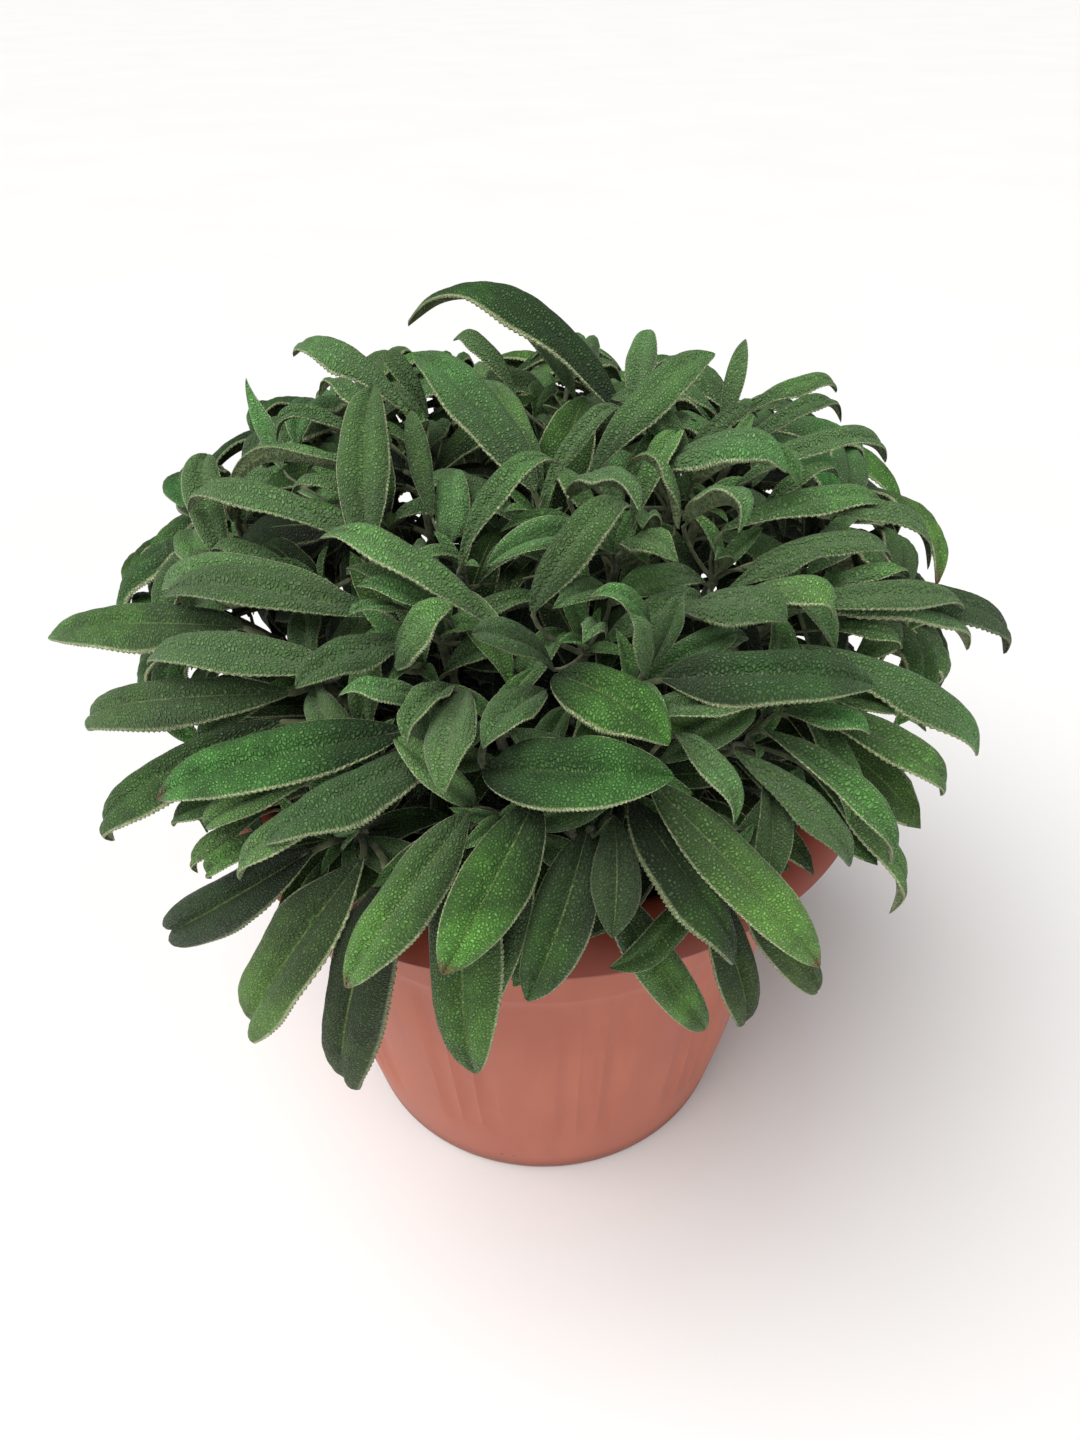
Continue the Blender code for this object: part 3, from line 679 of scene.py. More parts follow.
class Wiring:
    """Short words for adding and joining a material's nodes."""

    def __init__(self, material):
        self.tree = material.node_tree

    def join(self, source, target):
        """Links an output to an input, or sets the input to a number or a colour."""
        if isinstance(source, (int, float, tuple)):
            target.default_value = source
        else:
            self.tree.links.new(source, target)

    def add(self, kind, **settings):
        node = self.tree.nodes.new(kind)
        for name, value in settings.items():
            setattr(node, name, value)
        return node

    def maths(self, operation, a, b=0.0):
        node = self.add("ShaderNodeMath", operation=operation)
        self.join(a, node.inputs[0])
        self.join(b, node.inputs[1])
        return node.outputs[0]

    def ramp(self, value, low, high, low_to=0.0, high_to=1.0):
        """The value stretched from low..high to low_to..high_to, smoothly and within those."""
        node = self.add("ShaderNodeMapRange", interpolation_type="SMOOTHSTEP")
        self.join(value, node.inputs["Value"])
        for name, number in (("From Min", low), ("From Max", high),
                             ("To Min", low_to), ("To Max", high_to)):
            node.inputs[name].default_value = number
        return node.outputs["Result"]

    def mix(self, share, a, b):
        node = self.add("ShaderNodeMix", data_type="RGBA")
        self.join(share, node.inputs["Factor"])
        self.join(a, node.inputs["A"])
        self.join(b, node.inputs["B"])
        return node.outputs["Result"]

    def noise(self, place, scale, detail=3.0, roughness=0.55):
        node = self.add("ShaderNodeTexNoise")
        self.join(place, node.inputs["Vector"])
        node.inputs["Scale"].default_value = scale
        node.inputs["Detail"].default_value = detail
        node.inputs["Roughness"].default_value = roughness
        return node.outputs["Fac"]

    def cells(self, place, scale, feature):
        node = self.add("ShaderNodeTexVoronoi", feature=feature)
        self.join(place, node.inputs["Vector"])
        node.inputs["Scale"].default_value = scale
        return node.outputs["Distance"]

    def bump(self, height, distance, strength=1.0, below=None):
        node = self.add("ShaderNodeBump")
        self.join(height, node.inputs["Height"])
        node.inputs["Distance"].default_value = distance
        node.inputs["Strength"].default_value = strength
        if below is not None:
            self.join(below, node.inputs["Normal"])
        return node.outputs["Normal"]

    def attribute(self, name):
        return self.add("ShaderNodeAttribute", attribute_name=name)

    def apart(self, vector):
        node = self.add("ShaderNodeSeparateXYZ")
        self.join(vector, node.inputs[0])
        return node.outputs

    def object_place(self):
        return self.add("ShaderNodeTexCoord").outputs["Object"]


def colour(red, green, blue):
    """A colour given as it is seen, 0 to 255, turned into the shader's linear numbers."""
    linear = [((value / 255 + 0.055) / 1.055) ** 2.4 for value in (red, green, blue)]
    return (*linear, 1.0)


print("full white is", colour(255, 255, 255))

# %% Sage leaf
LEAF_DARK_AND_SHADE = colour(12, 24, 9)
LEAF_COOL = colour(88, 170, 84)
LEAF_WARM = colour(126, 176, 56)
LEAF_FELT = colour(150, 200, 120)
LEAF_EDGE = colour(200, 210, 160)
LEAF_RIB = colour(124, 148, 84)
LEAF_UNDER = colour(112, 136, 88)
LEAF_BROWN = colour(120, 92, 60)
HAIR_TINT = colour(205, 220, 195)
CELLS_PER_MM = 1.3
PATCHES_PER_MM = 0.07


def sage_leaf():
    material, shader = new_material("sage_leaf", 0.62)
    shader.inputs["Sheen Roughness"].default_value = 0.4
    shader.inputs["Sheen Tint"].default_value = HAIR_TINT
    shader.inputs["Specular IOR Level"].default_value = 0.3
    wire = Wiring(material)
    across, along, above = wire.apart(wire.attribute("blade_place").outputs["Vector"])
    placed = wire.attribute("blade_mm").outputs["Vector"]
    tone_and_shade, warmth, felted = wire.apart(wire.attribute("leaf_look").outputs["Vector"])
    away = wire.maths("ABSOLUTE", across)
    top = wire.ramp(above, -0.2, 0.2)

    edges = wire.cells(placed, CELLS_PER_MM, "DISTANCE_TO_EDGE")
    domes = wire.ramp(edges, 0.0, 0.3)
    fine = wire.noise(placed, 4.0, 2.0)
    patches = wire.noise(placed, PATCHES_PER_MM, 3.0)

    green = wire.mix(warmth, LEAF_COOL, LEAF_WARM)
    dull = wire.maths("MULTIPLY", wire.ramp(patches, 0.35, 0.65, 1.0, 0.0), 0.55)
    green = wire.mix(dull, green, LEAF_DARK_AND_SHADE)
    # Darkens the leaf by its tone: a random tone, with painted shade deep in the bush and painted
    # light on large high leaves.
    green = wire.mix(tone_and_shade, LEAF_DARK_AND_SHADE, green)
    # Painted shade: every leaf darkens towards its base, where the leaves around it shade it.
    green = wire.mix(wire.ramp(along, 0.0, 0.7, 0.92, 0.0), green, LEAF_DARK_AND_SHADE)
    # The sunk veins between the raised cells are darker: partly their own colour, partly painted
    # shade in the grooves.
    green = wire.mix(wire.ramp(domes, 0.0, 0.7, 0.35, 0.0), green, LEAF_DARK_AND_SHADE)
    hairs = wire.maths("MULTIPLY", domes, wire.ramp(fine, 0.3, 0.7, 0.08, 0.2))
    hairs = wire.maths("MULTIPLY", hairs, wire.ramp(felted, 0.0, 1.0, 0.4, 1.3))
    hairs = wire.maths("MULTIPLY", hairs, wire.ramp(tone_and_shade, 0.0, 0.7, 0.1, 1.0))
    green = wire.mix(hairs, green, LEAF_FELT)
    green = wire.mix(wire.ramp(felted, 0.2, 1.0, 0.0, 0.28), green, LEAF_FELT)
    rib = wire.maths("MULTIPLY", wire.ramp(away, 0.012, 0.04, 1.0, 0.0),
                     wire.ramp(warmth, 0.2, 0.6, 0.15, 0.75))
    green = wire.mix(rib, green, LEAF_RIB)

    under = wire.mix(wire.ramp(domes, 0.0, 1.0, 0.45, 0.0), LEAF_UNDER, LEAF_EDGE)
    under = wire.mix(wire.ramp(away, 0.03, 0.1, 0.6, 0.0), under, LEAF_EDGE)
    # The underside is darkened by the same tone, painted shade included.
    under = wire.mix(wire.ramp(tone_and_shade, 0.0, 0.7, 0.75, 0.0), under, LEAF_DARK_AND_SHADE)
    skin = wire.mix(top, under, green)
    edge = wire.maths("MULTIPLY", wire.ramp(away, 0.9, 0.965),
                      wire.ramp(tone_and_shade, 0.0, 0.5, 0.15, 0.8))
    skin = wire.mix(edge, skin, LEAF_EDGE)
    dry = wire.maths("MULTIPLY", wire.ramp(along, 0.86, 1.0), wire.ramp(tone_and_shade, 0.93, 1.0))
    skin = wire.mix(dry, skin, LEAF_BROWN)
    wire.join(skin, shader.inputs["Base Color"])

    veins = wire.maths("MULTIPLY", domes, wire.ramp(above, -1.0, 1.0, -0.6, 1.0))
    normal = wire.bump(veins, 0.7 * MM, 1.0)
    normal = wire.bump(fine, 0.06 * MM, 0.6, normal)
    wire.join(normal, shader.inputs["Normal"])
    wire.join(wire.ramp(felted, 0.0, 1.0, 0.05, 0.35), shader.inputs["Sheen Weight"])
    wire.join(wire.ramp(domes, 0.0, 1.0, 0.72, 0.44), shader.inputs["Roughness"])
    return material


SAGE_LEAF = sage_leaf()
print("made", SAGE_LEAF.name)

# %% Stem skin
STEM_GREEN = colour(72, 88, 52)
STEM_WOOD = colour(70, 56, 44)
STEM_BARK = colour(150, 142, 112)
WOODY_HEIGHTS = (175 * MM, 225 * MM)


def sage_stem():
    material, shader = new_material("sage_stem", 0.8)
    shader.inputs["Sheen Weight"].default_value = 0.2
    wire = Wiring(material)
    place = wire.object_place()
    height = wire.apart(place)[2]
    streaks = wire.noise(place, 420, 4.0)
    uneven = wire.maths("ADD", height, wire.maths("MULTIPLY", streaks, 20 * MM))
    age = wire.ramp(uneven, *WOODY_HEIGHTS)
    skin = wire.mix(age, STEM_WOOD, STEM_GREEN)
    skin = wire.mix(wire.ramp(streaks, 0.35, 0.7, 0.0, 0.5), skin, STEM_BARK)
    wire.join(skin, shader.inputs["Base Color"])
    wire.join(wire.bump(streaks, 0.4 * MM, 0.9), shader.inputs["Normal"])
    return material


SAGE_STEM = sage_stem()
print("made", SAGE_STEM.name)

# %% [markdown]
# ## Building a shoot
# The real shoot grew as one piece, so each one becomes one piece here: its stem, its leaf stalks
# and its leaves. The stem and the stalks are curves with a round bevel, which taper towards their
# tips, turned into meshes. Each leaf is a copy of a blade with its own mesh, bent to its place.
# The front of the bush gets the finest blades and the hidden leaves get the plain one, which has
# only a few dozen faces because it is used hundreds of times.

# %% Stem and stalks
STEM_BOTTOM_RADIUS = 2.1 * MM
STEM_TOP_RADIUS = 1.25 * MM
STALK_RADIUS = 0.85 * MM
STALK_END_RADIUS = 0.3 * MM
STALK_FLARE = 1.25
STALK_SEAT = 0.5 * MM
STEM_POINTS = 18
STALK_POINTS = 7
STEM_IN_SOIL = 3 * MM


def add_run(curve, points, radii):
    run = curve.splines.new("POLY")
    run.points.add(len(points) - 1)
    for spot, point, radius in zip(run.points, points, radii):
        spot.co = (*point, 1.0)
        spot.radius = radius / MM


def smooth_run(points, radii, count):
    """Points and radii spread evenly along a smooth curve through a few places."""
    knots = [0.0]
    for a, b in zip(points[:-1], points[1:]):
        knots.append(knots[-1] + max((b - a).length, 1e-5))
    at = np.linspace(0, knots[-1], count)
    return smooth_through(knots, points, at), np.interp(at, knots, radii)


def stalk_of(stem, leaf):
    """From inside the stem out to the leaf's base, as (points, radii)."""
    base = Vector(leaf["points"][0])
    ahead = (Vector(leaf["points"][1]) - base).normalized()
    best = min((stem_spot(stem, step * 3 * MM)[0] for step in range(40)),
               key=lambda spot: (spot - leaf["foot"]).length)
    bend = best.lerp(base, 0.55) - ahead * 0.12 * (base - best).length
    under = base - leaf["normals"][0] * STALK_SEAT
    onto = under + ahead * 0.06 * leaf["length"]
    thin = min(leaf["width"] / FULL_WIDTH, 1.0)
    radii = [STALK_RADIUS * thin * STALK_FLARE, STALK_RADIUS * thin, STALK_RADIUS * thin,
             STALK_END_RADIUS * thin]
    return smooth_run([best, bend, under, onto], radii, STALK_POINTS)


def make_stem(name, stem, leaves):
    """The stem and all its stalks, as one mesh."""
    nothing_selected()
    bpy.ops.curve.primitive_bezier_curve_add()
    made = bpy.context.object
    made.name = name
    curve = made.data
    curve.splines.clear()
    curve.dimensions = "3D"
    curve.bevel_depth = MM
    curve.bevel_resolution = 1
    curve.use_fill_caps = True
    foot = stem[0] - Vector((0, 0, STEM_IN_SOIL))
    radii = np.linspace(STEM_BOTTOM_RADIUS, STEM_TOP_RADIUS, len(stem) + 1)
    add_run(curve, *smooth_run([foot] + stem, radii, STEM_POINTS))
    for leaf in leaves:
        add_run(curve, *stalk_of(stem, leaf))
    made.location = (0, 0, 0)
    bpy.ops.object.convert(target="MESH")
    bpy.ops.object.shade_smooth()
    made.data.materials.clear()
    made.data.materials.append(SAGE_STEM)
    return made


print("stems ready")

# %% One leaf from a blade
FRONT_REACH = 0.02
LARGE_WIDTH = 14 * MM
LOW_LEAF = 150 * MM
HIGH_LEAF = 240 * MM
INNER_REACH = 95 * MM
OPEN_DEPTH = 40 * MM
PATTERN_SPREAD = 900


def blade_for(leaf, draw):
    """The name of the blade that suits a leaf."""
    if leaf["kind"] != "open":
        return "young" if leaf["kind"] == "young" else "plain"
    middle = leaf["points"][2]
    if middle[1] < FRONT_REACH and leaf["width"] > LARGE_WIDTH:
        return "front"
    if leaf["width"] < SMALL_WIDTH:
        return "slender"
    return draw.choice(("broad", "slender"))


def held(value):
    """The value kept within 0 to 1."""
    return min(max(value, 0.0), 1.0)


def look_of(leaf, draw):
    """(tone, warmth, felt), each 0 to 1: dark to bright, blue to yellow, bare to felted.

    A shaded leaf is painted dark, as shade, unless it reaches the outside of the bush. The lower an
    open leaf hangs, the yellower it is, and the smaller and higher it is, the more felted. An open
    leaf's tone is drawn at random, and a large one is made brighter the higher it stands, which is
    painted light.
    """
    x, y, height = leaf["points"][3]
    if leaf["kind"] == "shaded":
        out = held(max(math.hypot(x, y) - INNER_REACH, height - HIGH_LEAF) / OPEN_DEPTH)
        # Painted shade: a shaded leaf is darker the deeper it lies inside the bush.
        tone_and_shade = draw.uniform(0.0, 0.16) + 0.45 * out
        return tone_and_shade, draw.uniform(0.4, 0.9), draw.uniform(0.0, 0.1)
    if leaf["kind"] == "young":
        return draw.uniform(0.6, 0.9), draw.uniform(0.1, 0.4), draw.uniform(0.7, 1.0)
    low = 1 - held((height - LOW_LEAF) / (HIGH_LEAF - LOW_LEAF))
    small = 1 - held((leaf["width"] - SMALL_WIDTH) / (FULL_WIDTH - SMALL_WIDTH))
    warmth = 0.2 + 0.55 * low + draw.uniform(-0.2, 0.4)
    felt = 0.15 + 0.6 * small * (1 - low) + draw.uniform(-0.1, 0.25)
    tone_and_shade = 0.1 + 0.9 * draw.random() ** 1.4
    # Painted light: a large open leaf is brighter the higher it stands.
    if leaf["width"] > LARGE_WIDTH:
        tone_and_shade += 0.2 * (1 - low)
    return held(tone_and_shade), held(warmth), held(felt)


def store(mesh, name, rows):
    """Keeps three numbers for each point, for the material to read."""
    stored = mesh.attributes.new(name, "FLOAT_VECTOR", "POINT")
    stored.data.foreach_set("vector", np.asarray(rows, np.float32).ravel())


def make_leaf(name, leaf, draw):
    """A copy of a blade, bent to a leaf's place."""
    blade = BLADES[blade_for(leaf, draw)]
    nothing_selected()
    made = blade.copy()
    made.data = blade.data.copy()
    made.name = name
    made.hide_render = False
    bpy.context.scene.collection.objects.link(made)
    flat = flat_points(blade)
    bent = bent_points(flat, leaf, leaf_character(leaf, draw))
    made.data.vertices.foreach_set("co", bent.ravel())
    where = np.empty(flat.size)
    made.data.attributes["blade_place"].data.foreach_get("vector", where)
    across_mm = flat[:, 0] * leaf["width"] / 2 / MM
    along_mm = flat[:, 1] * leaf["length"] / MM + VEIN_SLANT * 0.4 * abs(flat[:, 0])
    pattern = where.reshape(-1, 3)[:, 2] + draw.uniform(0, PATTERN_SPREAD)
    store(made.data, "blade_mm", np.column_stack([across_mm, along_mm, pattern]))
    store(made.data, "leaf_look", np.tile(look_of(leaf, draw), len(flat)))
    made.data.materials.clear()
    made.data.materials.append(SAGE_LEAF)
    made.data.update()
    return made


def make_shoot(node, stem, leaves, draw):
    """The stem with its stalks and leaves, joined into one piece."""
    parts = [make_leaf(f"{node}_leaf", leaf, draw) for leaf in leaves]
    piece = make_stem(f"sage_{node}", stem, leaves)
    nothing_selected()
    for part in parts:
        part.select_set(True)
    piece.select_set(True)
    bpy.context.view_layer.objects.active = piece
    bpy.ops.object.join()
    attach(piece, "root")
    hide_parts(node)
    return piece


sage_pieces = []
for number, (stem, leaves) in enumerate(shoots):
    sage_pieces.append(make_shoot(SHOOT_NODES[number], stem, leaves, random.Random(number)))
used = sum(len(piece.data.polygons) for piece in sage_pieces)
print(len(sage_pieces), "shoots with", used, "faces")
for blade in BLADES.values():
    bpy.data.objects.remove(blade)

# %% [markdown]
# ## The pot
# The pot is thin moulded plastic: a tapering body with groups of shallow flutes, and a sloping
# collar that hangs over the body like a skirt. Its section is drawn once as a chain of points,
# from the middle of the underside up the outside and down the inside, and Spin turns it round.
# The spin has 22 columns for each of the 12 groups, so that four columns span one flute. The pot
# is then turned until its flutes face as they should, and they are pressed in by moving the
# body's points towards the axis.

# %% Section of the pot
pot_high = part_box("pot")[1]
POT_RADIUS = pot_high.x
POT_HEIGHT = pot_high.z
BASE_RADIUS = 71.5 * MM
BODY_TOP = (92.6 * MM, 148 * MM)
WALL = 2.4 * MM
print("pot radius", round(POT_RADIUS, 4), "height", round(POT_HEIGHT, 4))

# %% Turn the pot
PLAIN_BAND = 117 * MM
FLUTE_START = 3.0
FLUTE_GROUPS = 12
GROUP_COLUMNS = 22
FLUTE_COLUMNS = 4
FLUTES = 3
FLUTE_DEPTH = 1.2 * MM
FLUTE_EDGE = 0.55
FLUTE_FOOT = (27 * MM, 38 * MM)
FLUTE_TOP = (PLAIN_BAND - 8 * MM, PLAIN_BAND - 1 * MM)
BAND_STEP = 0.5 * MM
BAND_FADE = (27 * MM, 60 * MM)
BODY_BULGE = 3.2 * MM
SKIN_WITHIN = 0.3 * MM


def body_radius(height):
    """The slightly bulging radius of the pot's body at a height."""
    share = height / BODY_TOP[1]
    bulge = BODY_BULGE * math.sin(math.pi * share) * (1 - 0.35 * share)
    return BASE_RADIUS + (BODY_TOP[0] - BASE_RADIUS) * share + bulge


def pot_section():
    """(radius, height) from the middle of the underside, up the outside and down the inside."""
    foot = [(0, 0), (40, 0), (BASE_RADIUS / MM - 2.2, 0), (BASE_RADIUS / MM - 0.7, 0.5),
            (BASE_RADIUS / MM + 0.4, 2.0), (BASE_RADIUS / MM + 0.9, 4.0)]
    heights = [9, 18, 26, 29, 32, 36, 42, 50, 58, 66, 74, 82, 90, 98, 106, 110, 113, 116, 117.2,
               118, 124, 130, 136, 142]
    outside = [(body_radius(height * MM) / MM, height) for height in heights]
    edge, top = POT_RADIUS / MM, POT_HEIGHT / MM
    collar = [(92.8, 148), (93.2, 153.6), (94.6, 155.6), (98.5, 155.4), (103, 153.6),
              (edge - 2.9, 151.4), (edge - 2.1, 150.7), (edge - 1.1, 150.5), (edge - 0.3, 150.9),
              (edge, 151.8), (edge - 0.5, 153.2), (edge - 1.9, 156.0), (edge - 3.9, 158.8),
              (edge - 6.4, 161.3), (edge - 8.8, 163.0), (edge - 10.4, top - 0.25),
              (edge - 11.6, top), (edge - 13.0, top - 0.3), (edge - 14.4, top - 1.4)]
    inside = [((body_radius(height * MM) - WALL) / MM, height) for height in (146, 110, 70, 30, 8)]
    floor = [(BASE_RADIUS / MM - 3.4, 3.4), (BASE_RADIUS / MM - 5.5, 2.6), (0, 2.6)]
    return [(radius * MM, height * MM) for radius, height in
            foot + outside + collar + inside + floor]


def turned_piece(name, section, columns):
    """A closed shell spun from a section that starts and ends on the axis."""
    nothing_selected()
    bpy.ops.mesh.primitive_circle_add(vertices=3, radius=0.01)
    piece = bpy.context.object
    piece.name = name
    bpy.ops.object.mode_set(mode="EDIT")
    mesh = bmesh.from_edit_mesh(piece.data)
    bmesh.ops.delete(mesh, geom=mesh.verts[:], context="VERTS")
    chain = [mesh.verts.new((0, -radius, height)) for radius, height in section]
    for low, high in zip(chain[:-1], chain[1:]):
        mesh.edges.new((low, high))
    bmesh.update_edit_mesh(piece.data)
    bpy.ops.mesh.select_all(action="SELECT")
    bpy.ops.mesh.spin(steps=columns, angle=2 * math.pi, center=(0, 0, 0), axis=(0, 0, 1))
    bpy.ops.mesh.select_all(action="SELECT")
    bpy.ops.mesh.remove_doubles(threshold=0.00005)
    bpy.ops.mesh.normals_make_consistent(inside=False)
    bpy.ops.object.mode_set(mode="OBJECT")
    return piece


def flute_press(azimuth, height):
    """How far the wall is pressed in: 0 on the ridges between the flutes, 1 in their middles."""
    column = ((azimuth - FLUTE_START) % 360) * FLUTE_GROUPS * GROUP_COLUMNS / 360
    place = column % GROUP_COLUMNS
    if place > FLUTES * FLUTE_COLUMNS:
        return 0.0
    across = math.sin(math.pi * (place % FLUTE_COLUMNS) / FLUTE_COLUMNS) ** FLUTE_EDGE
    return across * np.interp(height, FLUTE_FOOT, (0, 1)) * np.interp(height, FLUTE_TOP, (1, 0))


pot = turned_piece("terracotta_pot", pot_section(), FLUTE_GROUPS * GROUP_COLUMNS)
for point in pot.data.vertices:
    x, y, z = point.co
    azimuth = math.degrees(math.atan2(x, -y)) + FLUTE_START
    radius = math.hypot(x, y)
    if radius > body_radius(z) - SKIN_WITHIN and z < PLAIN_BAND:
        radius -= FLUTE_DEPTH * flute_press(azimuth, z)
        radius -= BAND_STEP * float(np.interp(z, BAND_FADE, (0, 1)))
    point.co.x = radius * math.sin(math.radians(azimuth))
    point.co.y = -radius * math.cos(math.radians(azimuth))
print("pot has", len(pot.data.polygons), "faces")

# %% Drain holes
HOLES = 6
HOLE_RADIUS = 5 * MM
HOLE_CIRCLE = 48 * MM

for hole in range(HOLES):
    turn = 2 * math.pi * hole / HOLES
    nothing_selected()
    bpy.ops.mesh.primitive_cylinder_add(
        vertices=32, radius=HOLE_RADIUS, depth=12 * MM,
        location=(HOLE_CIRCLE * math.sin(turn), HOLE_CIRCLE * math.cos(turn), 0))
    drill = bpy.context.object
    finish_modifier(pot, "BOOLEAN", operation="DIFFERENCE", object=drill)
    bpy.data.objects.remove(drill)
nothing_selected()
pot.select_set(True)
bpy.context.view_layer.objects.active = pot
bpy.ops.object.shade_smooth_by_angle(angle=math.radians(28))
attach(pot, "root")
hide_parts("pot")
print("drilled", HOLES, "drain holes;", len(pot.data.polygons), "faces")

# %% [markdown]
# ## The pot's plastic
# Terracotta-coloured plastic is mixed with chalk, so it is matt and a little uneven. The body has
# a pale dusty bloom in clouds and upright streaks, and it is darker towards its foot. The collar is
# a deeper red, partly its own darker colour and partly painted shade from the leaves above it.
# Splashed soil clings near the foot.

# %% Terracotta plastic
POT_BODY = colour(160, 76, 54)
POT_BLOOM = colour(184, 108, 86)
POT_COLLAR = colour(140, 60, 42)
POT_FOOT = colour(128, 68, 52)
SOIL_DARK = colour(38, 30, 25)
FOOT_DARKER_HEIGHTS = (2 * MM, 11 * MM)
SPLASH_HEIGHTS = (20 * MM, 2 * MM)
COLLAR_EDGE = (149.2 * MM, 150.6 * MM)
STREAK_SQUASH = 0.16


def terracotta_plastic():
    material, shader = new_material("terracotta_plastic", 0.5)
    shader.inputs["Specular IOR Level"].default_value = 0.4
    wire = Wiring(material)
    place = wire.object_place()
    height = wire.apart(place)[2]
    stretched = wire.add("ShaderNodeMapping")
    wire.join(place, stretched.inputs["Vector"])
    stretched.inputs["Scale"].default_value = (1, 1, STREAK_SQUASH)
    streaks = wire.noise(stretched.outputs["Vector"], 95, 4.0)
    clouds = wire.noise(place, 22, 3.0)
    grain = wire.noise(place, 1500, 2.0)

    dust = wire.maths("MULTIPLY", wire.ramp(clouds, 0.3, 0.72), wire.ramp(streaks, 0.3, 0.7))
    bloom = wire.maths("ADD", wire.maths("MULTIPLY", dust, 0.75), 0.5)
    skin = wire.mix(bloom, POT_BODY, POT_BLOOM)
    # The pot is darker towards its foot.
    skin = wire.mix(wire.ramp(height, *FOOT_DARKER_HEIGHTS, 0.75, 0.0), skin, POT_FOOT)
    # The collar's deeper red is partly its own colour and partly painted shade from the leaves
    # above.
    collar = wire.mix(wire.ramp(streaks, 0.35, 0.75, 0.0, 0.35), POT_COLLAR, POT_BODY)
    skin = wire.mix(wire.ramp(height, *COLLAR_EDGE), skin, collar)
    specks = wire.cells(place, 330, "F1")
    splashed = wire.maths("MULTIPLY", wire.ramp(specks, 0.3, 0.2),
                          wire.ramp(height, *SPLASH_HEIGHTS, 0.0, 0.9))
    splashed = wire.maths("MULTIPLY", splashed, wire.ramp(wire.noise(place, 60), 0.52, 0.6))
    skin = wire.mix(splashed, skin, SOIL_DARK)
    wire.join(skin, shader.inputs["Base Color"])
    wire.join(wire.ramp(dust, 0.0, 1.0, 0.46, 0.66), shader.inputs["Roughness"])
    normal = wire.bump(grain, 0.05 * MM, 0.6)
    normal = wire.bump(streaks, 0.12 * MM, 0.5, normal)
    wire.join(normal, shader.inputs["Normal"])
    return material


pot.data.materials.clear()
pot.data.materials.append(terracotta_plastic())
print("pot finished")

# %% [markdown]
# ## The potting soil
# Soil is seen only in the gaps between the leaves, nearly black. Its root ball is spun like the
# pot, its top is roughened with a Displace modifier on a cloud texture, and loose crumbs lie on
# it. The crumbs are small rough balls of twenty faces each, their points jostled at random, joined
# into one piece.

# %% Root ball
soil_low, soil_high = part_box("potting_soil")
SOIL_GAP = 0.6 * MM
SOIL_TOP_RADIUS = 80 * MM
SOIL_RINGS = 10


def soil_section():
    """(radius, height) of the root ball, from below, up the wall and in over its top."""
    bottom = soil_low.z
    top = soil_high.z
    wall = [(body_radius(height * MM) - WALL - SOIL_GAP, height * MM)
            for height in (12, 40, 75, 110, 140)]
    crown = [(88 * MM, 150 * MM), (84 * MM, top - 0.6 * MM)]
    crown += [(SOIL_TOP_RADIUS * ring / SOIL_RINGS, top) for ring in range(SOIL_RINGS, 0, -1)]
    return [(0, bottom), (BASE_RADIUS - 6 * MM, bottom)] + wall + crown + [(0, top)]


soil = turned_piece("potting_soil_ball", soil_section(), 72)
lumps = soil.vertex_groups.new(name="top")
lumps.add([point.index for point in soil.data.vertices if point.co.z > soil_high.z - 1 * MM],
          1.0, "REPLACE")
clods = bpy.data.textures.new("clods", "CLOUDS")
clods.noise_scale = 0.008
clods.noise_depth = 3
finish_modifier(soil, "DISPLACE", texture=clods, strength=5 * MM, mid_level=0.62,
                direction="Z", vertex_group="top", texture_coords="LOCAL")
nothing_selected()
soil.select_set(True)
bpy.context.view_layer.objects.active = soil
bpy.ops.object.shade_smooth_by_angle(angle=math.radians(50))
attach(soil, "root")
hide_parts("potting_soil")
print("root ball has", len(soil.data.polygons), "faces")

# %% Crumbs on the soil
CRUMBS = 170
CRUMB_RADIUS = (1.0 * MM, 2.6 * MM)
CRUMB_SPREAD = 82 * MM

draw = random.Random(7)
crumbs = []
for _ in range(CRUMBS):
    nothing_selected()
    away = CRUMB_SPREAD * math.sqrt(draw.random())
    turn = draw.uniform(0, 2 * math.pi)
    place = (away * math.sin(turn), away * math.cos(turn), soil_high.z + 0.3 * MM)
    bpy.ops.mesh.primitive_ico_sphere_add(subdivisions=1, radius=draw.uniform(*CRUMB_RADIUS),
                                          location=place)
    crumb = bpy.context.object
    bpy.ops.object.transform_apply(location=True)
    for point in crumb.data.vertices:
        point.co.x += draw.uniform(-0.5, 0.5) * MM
        point.co.y += draw.uniform(-0.5, 0.5) * MM
        point.co.z += draw.uniform(-0.5, 0.3) * MM
    crumbs.append(crumb)
nothing_selected()
for crumb in crumbs:
    crumb.select_set(True)
bpy.context.view_layer.objects.active = crumbs[0]
bpy.ops.object.join()
soil_crumbs = bpy.context.object
soil_crumbs.name = "soil_crumbs"
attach(soil_crumbs, "root")
print("crumbs have", len(soil_crumbs.data.polygons), "faces")

# %% Soil
SOIL_BLACK = colour(22, 17, 14)
SOIL_PALE = colour(66, 50, 38)
SOIL_FIBRE = colour(120, 98, 74)


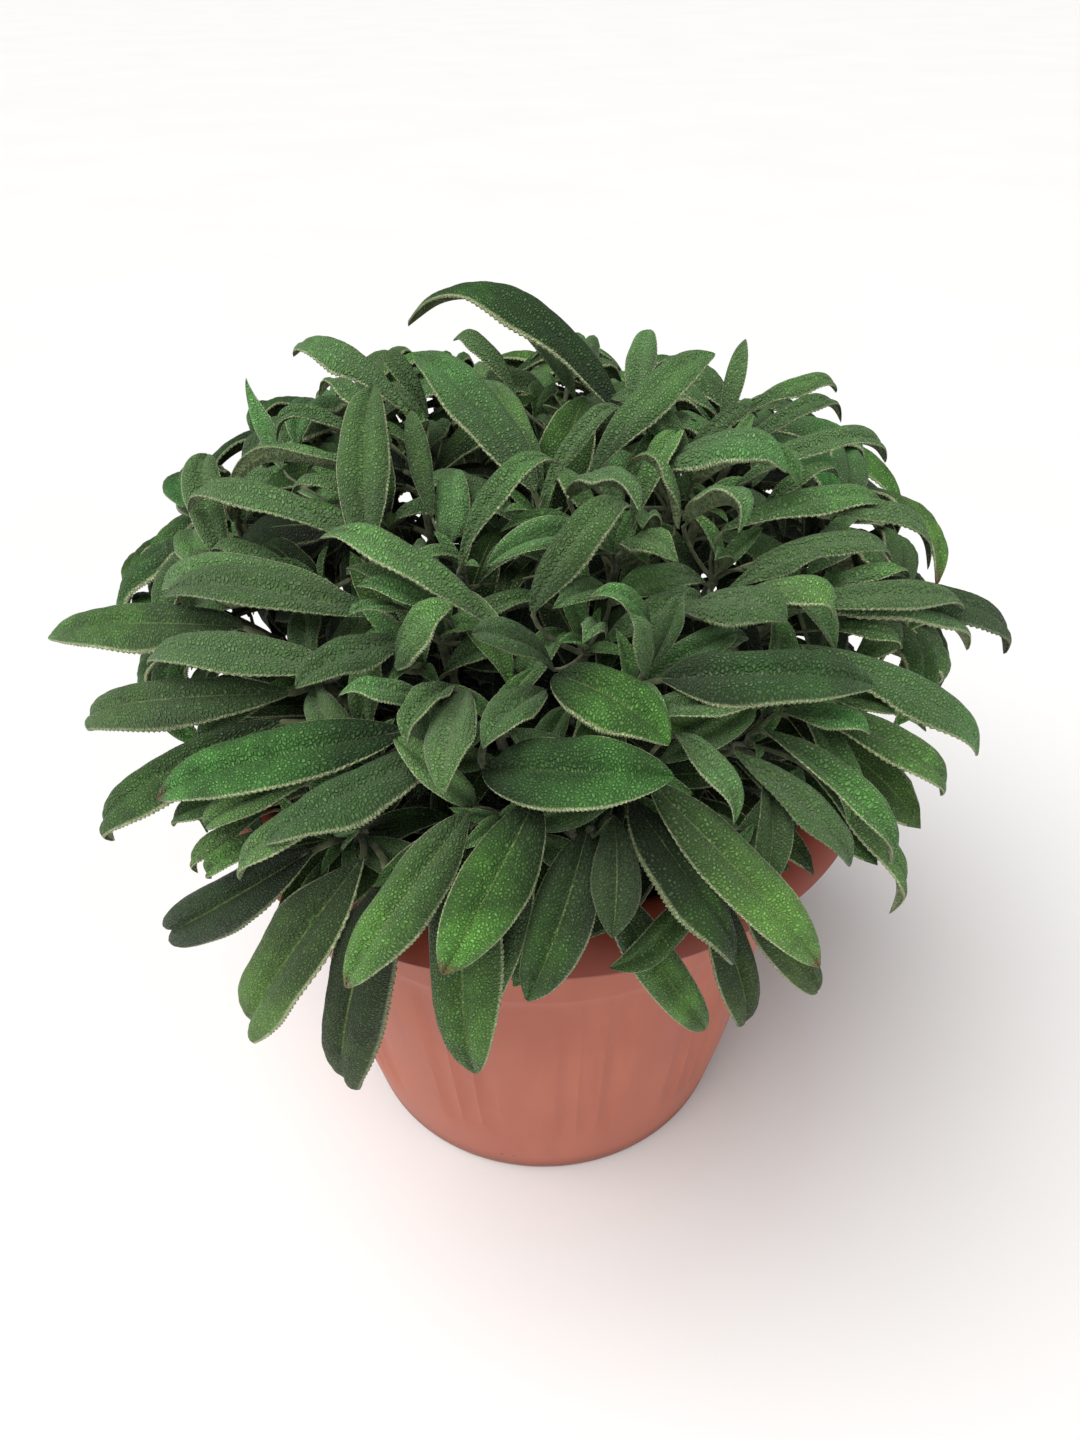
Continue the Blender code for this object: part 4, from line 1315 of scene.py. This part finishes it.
def potting_soil():
    material, shader = new_material("potting_soil", 0.95)
    shader.inputs["Specular IOR Level"].default_value = 0.2
    wire = Wiring(material)
    place = wire.object_place()
    clumps = wire.noise(place, 180, 5.0, 0.65)
    fibres = wire.cells(place, 520, "F1")
    skin = wire.mix(wire.ramp(clumps, 0.3, 0.75), SOIL_BLACK, SOIL_PALE)
    skin = wire.mix(wire.ramp(fibres, 0.12, 0.05, 0.0, 0.5), skin, SOIL_FIBRE)
    wire.join(skin, shader.inputs["Base Color"])
    wire.join(wire.bump(clumps, 1.2 * MM, 1.0), shader.inputs["Normal"])
    return material


EARTH = potting_soil()
for piece in (soil, soil_crumbs):
    piece.data.materials.clear()
    piece.data.materials.append(EARTH)
print("soil finished")

# %% [markdown]
# ## Floor and light
# The plant stands on a plain pale floor. The light is soft: a wide sun from above, the left and
# a little in front gives the leaves their pale tops and a soft shadow at the right. A weaker,
# wider one from the front right keeps the pot's far side open. The pale world adds only a little,
# so the heart of the bush stays dark. Suns are used because they light the floor evenly out to
# its edge.

# %% Floor
FLOOR_SIZE = 60

nothing_selected()
bpy.ops.mesh.primitive_plane_add(size=FLOOR_SIZE, location=(0, 0, 0))
floor = bpy.context.object
floor.name = "floor"
pale, pale_shader = new_material("pale_floor", 0.7)
pale_wire = Wiring(pale)
soft = pale_wire.noise(pale_wire.object_place(), 3.0, 2.0)
pale_wire.join(pale_wire.mix(soft, colour(240, 239, 238), colour(247, 246, 246)),
               pale_shader.inputs["Base Color"])
floor.data.materials.append(pale)
print("floor laid")

# %% Lights
def soft_sun(name, way, angle, strength, tint):
    """A sun as wide as a window wall: it lights the whole floor evenly and casts soft shadows."""
    nothing_selected()
    bpy.ops.object.light_add(type="SUN", location=(0, 0, 1))
    sun = bpy.context.object
    sun.name = name
    sun.data.angle = math.radians(angle)
    sun.data.energy = strength
    sun.data.color = tint
    sun.rotation_euler = Vector(way).to_track_quat("-Z", "Y").to_euler()


soft_sun("window", (0.42, 0.3, -1.0), 56, 3.3, (1.0, 0.995, 0.98))
soft_sun("front", (-0.35, 0.85, -0.5), 80, 1.0, (1.0, 0.995, 0.99))
world = bpy.data.worlds.new("pale_room")
bpy.context.scene.world = world
world.use_nodes = True
sky = world.node_tree.nodes["Background"]
sky.inputs["Color"].default_value = (0.97, 0.98, 1.0, 1.0)
sky.inputs["Strength"].default_value = 0.11
bpy.context.scene.view_settings.view_transform = "Standard"
print("lit")
